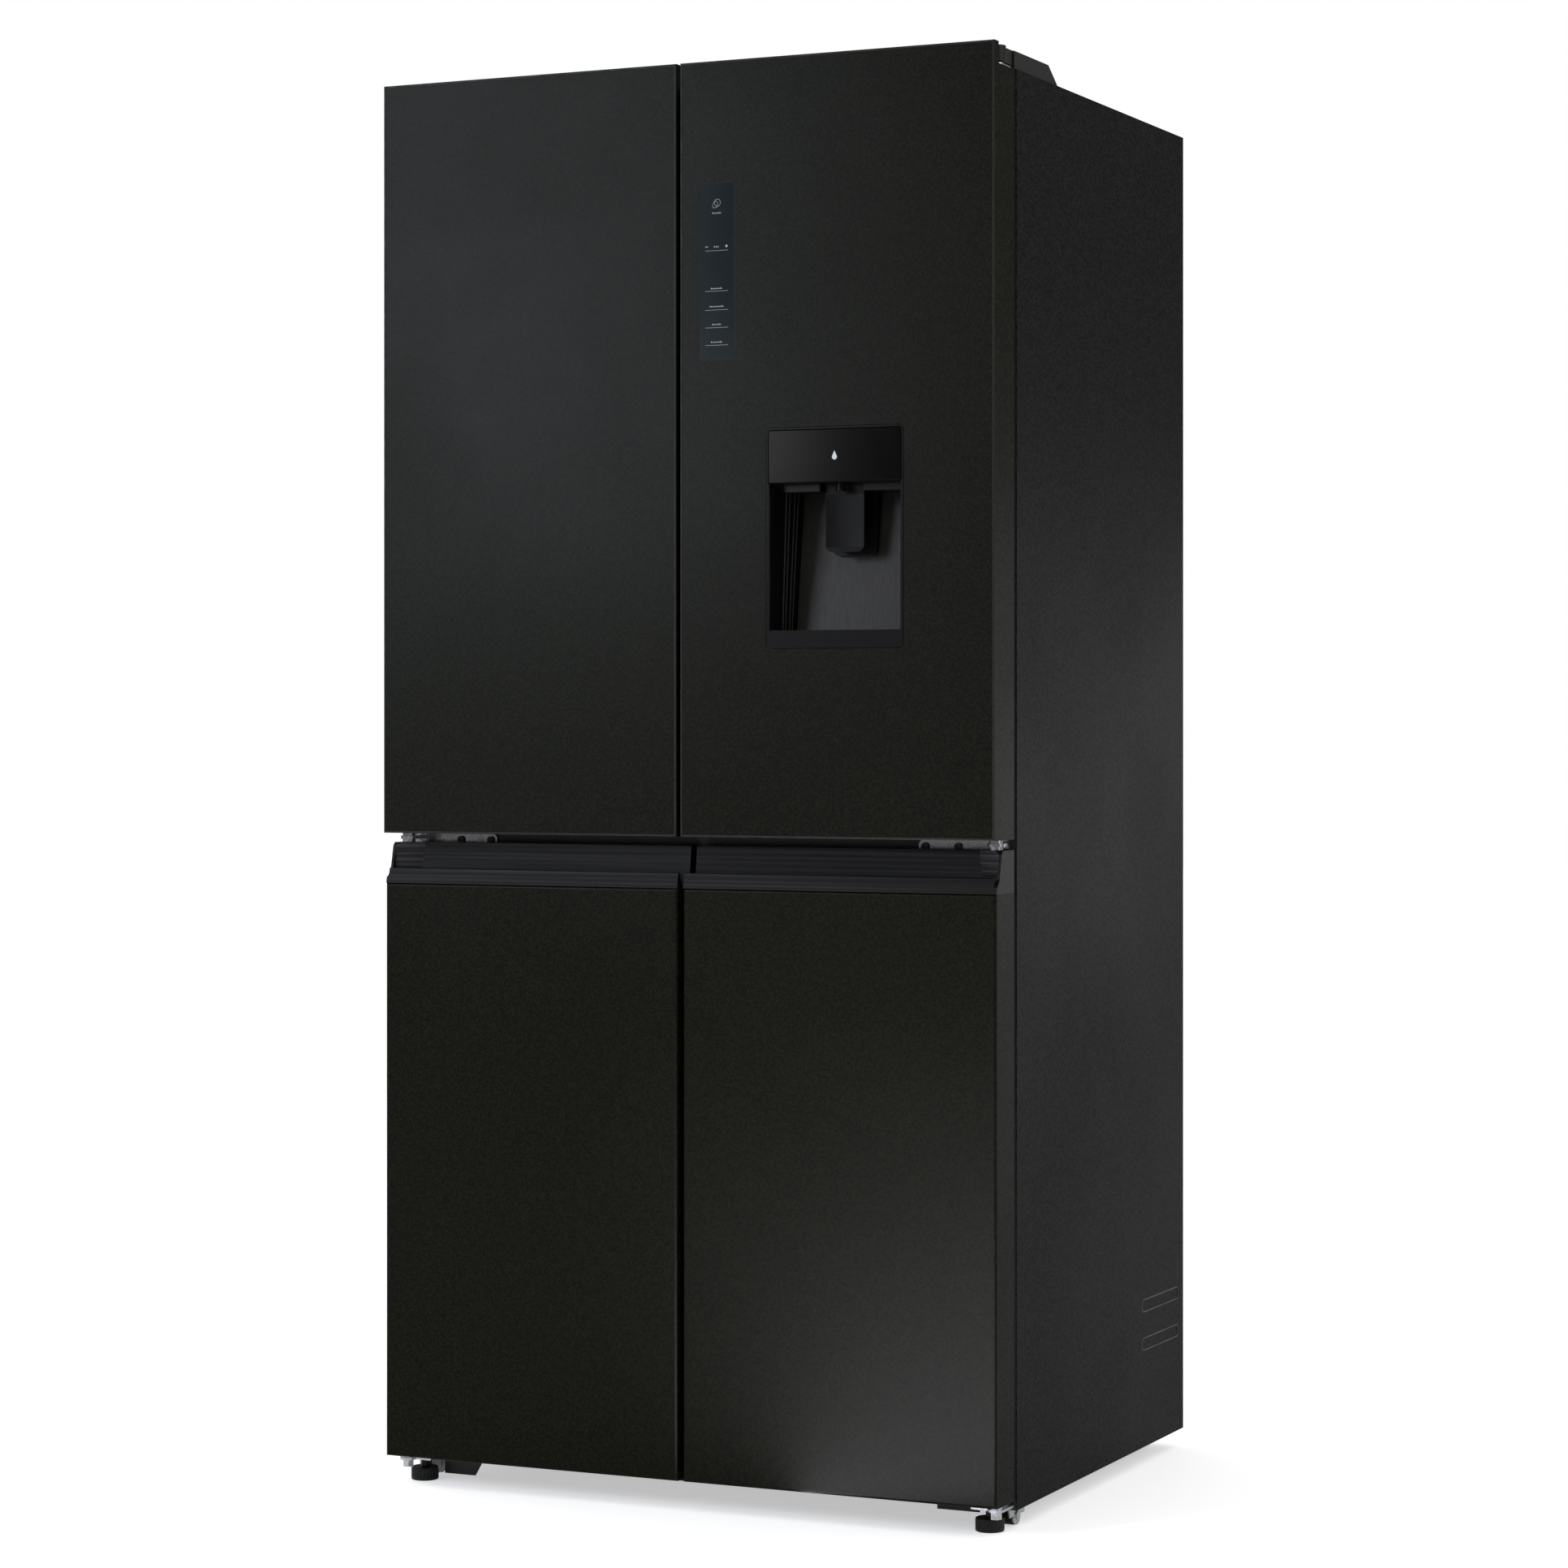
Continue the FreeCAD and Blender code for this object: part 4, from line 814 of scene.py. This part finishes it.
def rear_beads():
    """A pressed frame and cross beads on the rear panel."""
    x0, x1, _, face, z0, z1 = corners("rear_panel")
    beads = Sketch()
    foot, shoulder, crest = face - 0.3, face + BEAD_RISE * 0.8, face + BEAD_RISE
    ring = [(0, foot), (2.5, shoulder), (6, crest), (9.5, shoulder), (12, foot)]
    beads.frame("y", (x0 + 60, x1 - 60, z0 + 70, z1 - 70), ring)
    half = 5.5
    for z in spread(z0 + 150, z1 - 150, BEAD_COUNT):
        outline = [(foot, z - half), (shoulder, z - half * 0.6), (crest, z), (shoulder, z + half * 0.6),
                   (foot, z + half)]
        beads.prism(outline, "x", x0 + 110, x1 - 110)
    beads.piece("rear_panel_beads", "sheet", "cabinet", 0.3)


def rear_screws():
    """Screws round the rear panel and along the machine room's cover."""
    x0, x1, _, face, z0, z1 = corners("rear_panel")
    screws = Sketch()
    for x in (x0 + 12, x1 - 12):
        for z in spread(z0 + 40, z1 - 40, 7):
            screw_head(screws, "y", (x, z), face, 1)
    for x in (x0 + 200, 0.0, x1 - 200):
        screw_head(screws, "y", (x, z1 - 12), face, 1)
    x0, x1, _, face, z0, z1 = corners("compressor_cover")
    for z in (z0 + 12, z1 - 9):
        for x in spread(x0 + 14, x1 - 14, 6):
            screw_head(screws, "y", (x, z), face, 1)
    screws.piece("rear_screws", "zinc", "cabinet")


def cover_bead():
    """A pressed frame on the machine room's cover."""
    x0, x1, _, face, z0, z1 = corners("compressor_cover")
    hem = Sketch()
    profile = [(0, face - 0.3), (1.5, face + 1.2), (4.5, face + 1.2), (6, face - 0.3)]
    hem.frame("y", (x0 + 22, x1 - 22, z0 + 24, z1 - 20), profile)
    hem.piece("cover_bead", "sheet", "cabinet", 0.2)


def carry_marks():
    """Thin rings in the two shallow long marks low on the right side, in a metal much lighter than the case
    paint: a painted highlight on the marks' edges.
    """
    side = cad_high.x / MM
    rims = Sketch()
    for middle in CARRY_MARK_Z:
        rect = (*CARRY_MARK_Y, middle - CARRY_MARK_R, middle + CARRY_MARK_R)
        rims.band("x", rect, CARRY_MARK_R - 0.1, 1.3, side - 0.65, side - 0.05)
    rims.piece("carry_mark_painted_highlight_rims", "mark_painted_highlight_rim", "cabinet", 0.1)


def hinge_cover_plugs():
    """Round plugs over the screws of the top hinge covers."""
    plugs = Sketch()
    for x0, x1, y0, y1, _, z1 in islands("hinge_covers"):
        middle = (x0 + x1) / 2
        for y in (y0 + 62, y1 - 56):
            profile = [(7.5, z1 - 1.5), (7.5, z1 - 0.6), (7.0, z1 + 0.1), (5.5, z1 + 0.3),
                       (2.0, z1 + 0.3), (1.6, z1 - 0.2)]
            plugs.lathe("z", (middle, y), profile, 28)
    plugs.piece("hinge_cover_plugs", "black", "cabinet")


def arc(centre, radius, start, end, steps=6):
    """Points of an arc in the xz plane, in degrees."""
    points = []
    for step in range(steps + 1):
        turn = math.radians(start + (end - start) * step / steps)
        points.append((centre[0] + radius * math.cos(turn), centre[1], centre[2] + radius * math.sin(turn)))
    return points


def refrigerant_pipes():
    """A copper pipe from the compressor over the fan to the condenser, and the filter on it."""
    compressor_x0, _, y0, y1, _, _ = corners("compressor")
    y = (y0 + y1) / 2
    start = compressor_x0 + 4.0
    end = corners("condenser")[1] + 12.0
    bend_z = PIPE_TOP - PIPE_BEND
    path = [(start, y, 200.0)]
    path += arc((start - PIPE_BEND, y, bend_z), PIPE_BEND, 0, 90)
    path += arc((end + PIPE_BEND, y, bend_z), PIPE_BEND, 90, 180)
    path += [(end, y, 90.0)]
    pipes = Sketch()
    pipes.tube(path, PIPE_RADIUS, 14)
    pipes.piece("copper_pipe", "copper", "cabinet")
    drier = Sketch()
    middle = (start + end) / 2 + 40
    profile = [(3.4, middle - 44), (4, middle - 40), (9, middle - 30), (9.5, middle - 26),
               (9.5, middle + 26), (9, middle + 30), (4, middle + 40), (3.4, middle + 44)]
    drier.lathe("x", (y, PIPE_TOP), profile)
    drier.piece("filter_drier", "copper", "cabinet")


control_marks()
water_icon()
dispenser_details()
for door, bins in (("upper_left", "upper_left_bins"), ("upper_right", "upper_right_bins"),
                   ("lower_left", None), ("lower_right", None)):
    gasket_folds(door)
    door_liner_relief(door, bins)
    if bins:
        bin_rails(bins, door + "_door")
for side in ("left", "right"):
    for kind in ("crisper", "drawer_bottom", "drawer_middle", "drawer_top"):
        drawer_front("%s_%s" % (kind, side))
shelf_trims()
lamps()
flap_plate()
rear_beads()
rear_screws()
cover_bead()
carry_marks()
hinge_cover_plugs()
refrigerant_pipes()


# ---- stage, light, camera ----------------------------------------------------
def make_camera():
    data = bpy.data.cameras.new("camera")
    data.sensor_width = 36.0
    data.lens = CAMERA_LENS
    data.shift_y = CAMERA_SHIFT
    camera = bpy.data.objects.new("camera", data)
    camera.location = CAMERA_PLACE
    camera.rotation_euler = (math.radians(90.0), 0.0, math.radians(CAMERA_TURN))
    bpy.context.scene.collection.objects.link(camera)
    bpy.context.scene.camera = camera


def make_floor():
    """A pale floor that stays white to the camera and adds little light to the part."""
    bpy.ops.mesh.primitive_plane_add(size=40.0, location=(0, 0, cad_low.z))
    floor = bpy.context.object
    floor.name = "floor"
    m = Shader("floor_pale", (0.88, 0.88, 0.88), 0.7, specular=0.2)
    m.tint(m.noise(0.8), (0.87, 0.87, 0.87), (0.89, 0.89, 0.89))
    m.set(m.main, "Emission Color", (1.0, 1.0, 1.0, 1.0))
    rays = m.add("ShaderNodeLightPath")
    glow = m.span(rays.outputs["Is Camera Ray"], 0.0, 1.0, 0.08, 0.5)
    m.link(glow, m.main.inputs["Emission Strength"])
    floor.data.materials.append(m.material)


def area_light(name, place, target, size, power, color=(1.0, 1.0, 1.0), sheen=False):
    """A soft rectangular lamp. With sheen it only shows in glossy surfaces."""
    data = bpy.data.lights.new(name, "AREA")
    data.shape = "RECTANGLE"
    data.size, data.size_y = size
    data.energy = power
    data.color = color
    lamp = bpy.data.objects.new(name, data)
    lamp.location = place
    lamp.rotation_euler = (Vector(target) - Vector(place)).to_track_quat("-Z", "Y").to_euler()
    lamp.visible_camera = False
    lamp.visible_diffuse = not sheen
    bpy.context.scene.collection.objects.link(lamp)
    return lamp


def make_world():
    """White behind the part; for everything else dim, and brighter towards the zenith."""
    world = bpy.data.worlds.new("studio")
    world.use_nodes = True
    tree = world.node_tree
    back = tree.nodes["Background"]
    back.inputs["Color"].default_value = (1.0, 1.0, 1.0, 1.0)
    coords = tree.nodes.new("ShaderNodeTexCoord")
    split = tree.nodes.new("ShaderNodeSeparateXYZ")
    sky = tree.nodes.new("ShaderNodeMapRange")
    for label, value in (("From Min", 0.1), ("From Max", 0.6), ("To Min", 0.125), ("To Max", 0.84)):
        sky.inputs[label].default_value = value
    seen = tree.nodes.new("ShaderNodeMix")
    seen.inputs[3].default_value = 1.0
    rays = tree.nodes.new("ShaderNodeLightPath")
    tree.links.new(coords.outputs["Generated"], split.inputs[0])
    tree.links.new(split.outputs["Z"], sky.inputs["Value"])
    tree.links.new(sky.outputs["Result"], seen.inputs[2])
    tree.links.new(rays.outputs["Is Camera Ray"], seen.inputs[0])
    tree.links.new(seen.outputs[0], back.inputs["Strength"])
    bpy.context.scene.world = world
    bpy.context.scene.view_settings.view_transform = "Standard"


def make_light():
    area_light("cool_softbox", (-2.12, -3.4, 2.0), (-0.2, -0.34, 1.5), (1.1, 1.3), 60, (0.80, 0.85, 1.0))
    area_light("fascia_card", (-1.40, -3.4, 1.58), (0.1, -0.34, 1.3), (0.3, 0.3), 2.3, sheen=True)
    area_light("side_softbox", (1.46, 2.3, 0.95), (0.42, 0.0, 0.95), (1.2, 0.7), 3.9)
    panel = area_light("floor_panel", (0.24, -1.30, 0.02), (0.24, -1.30, 3.0), (0.95, 1.7), 49,
                       (0.88, 0.84, 1.0), sheen=True)
    panel.rotation_euler = (math.pi, 0.0, math.radians(PANEL_TURN))
    area_light("right_fill", (4.0, -0.4, 1.5), (0.42, 0.0, 0.9), (2.0, 2.0), 22)
    area_light("left_fill", (-4.0, 1.2, 1.6), (-0.42, 0.0, 0.9), (2.0, 2.0), 50)


make_camera()
make_floor()
make_world()
make_light()
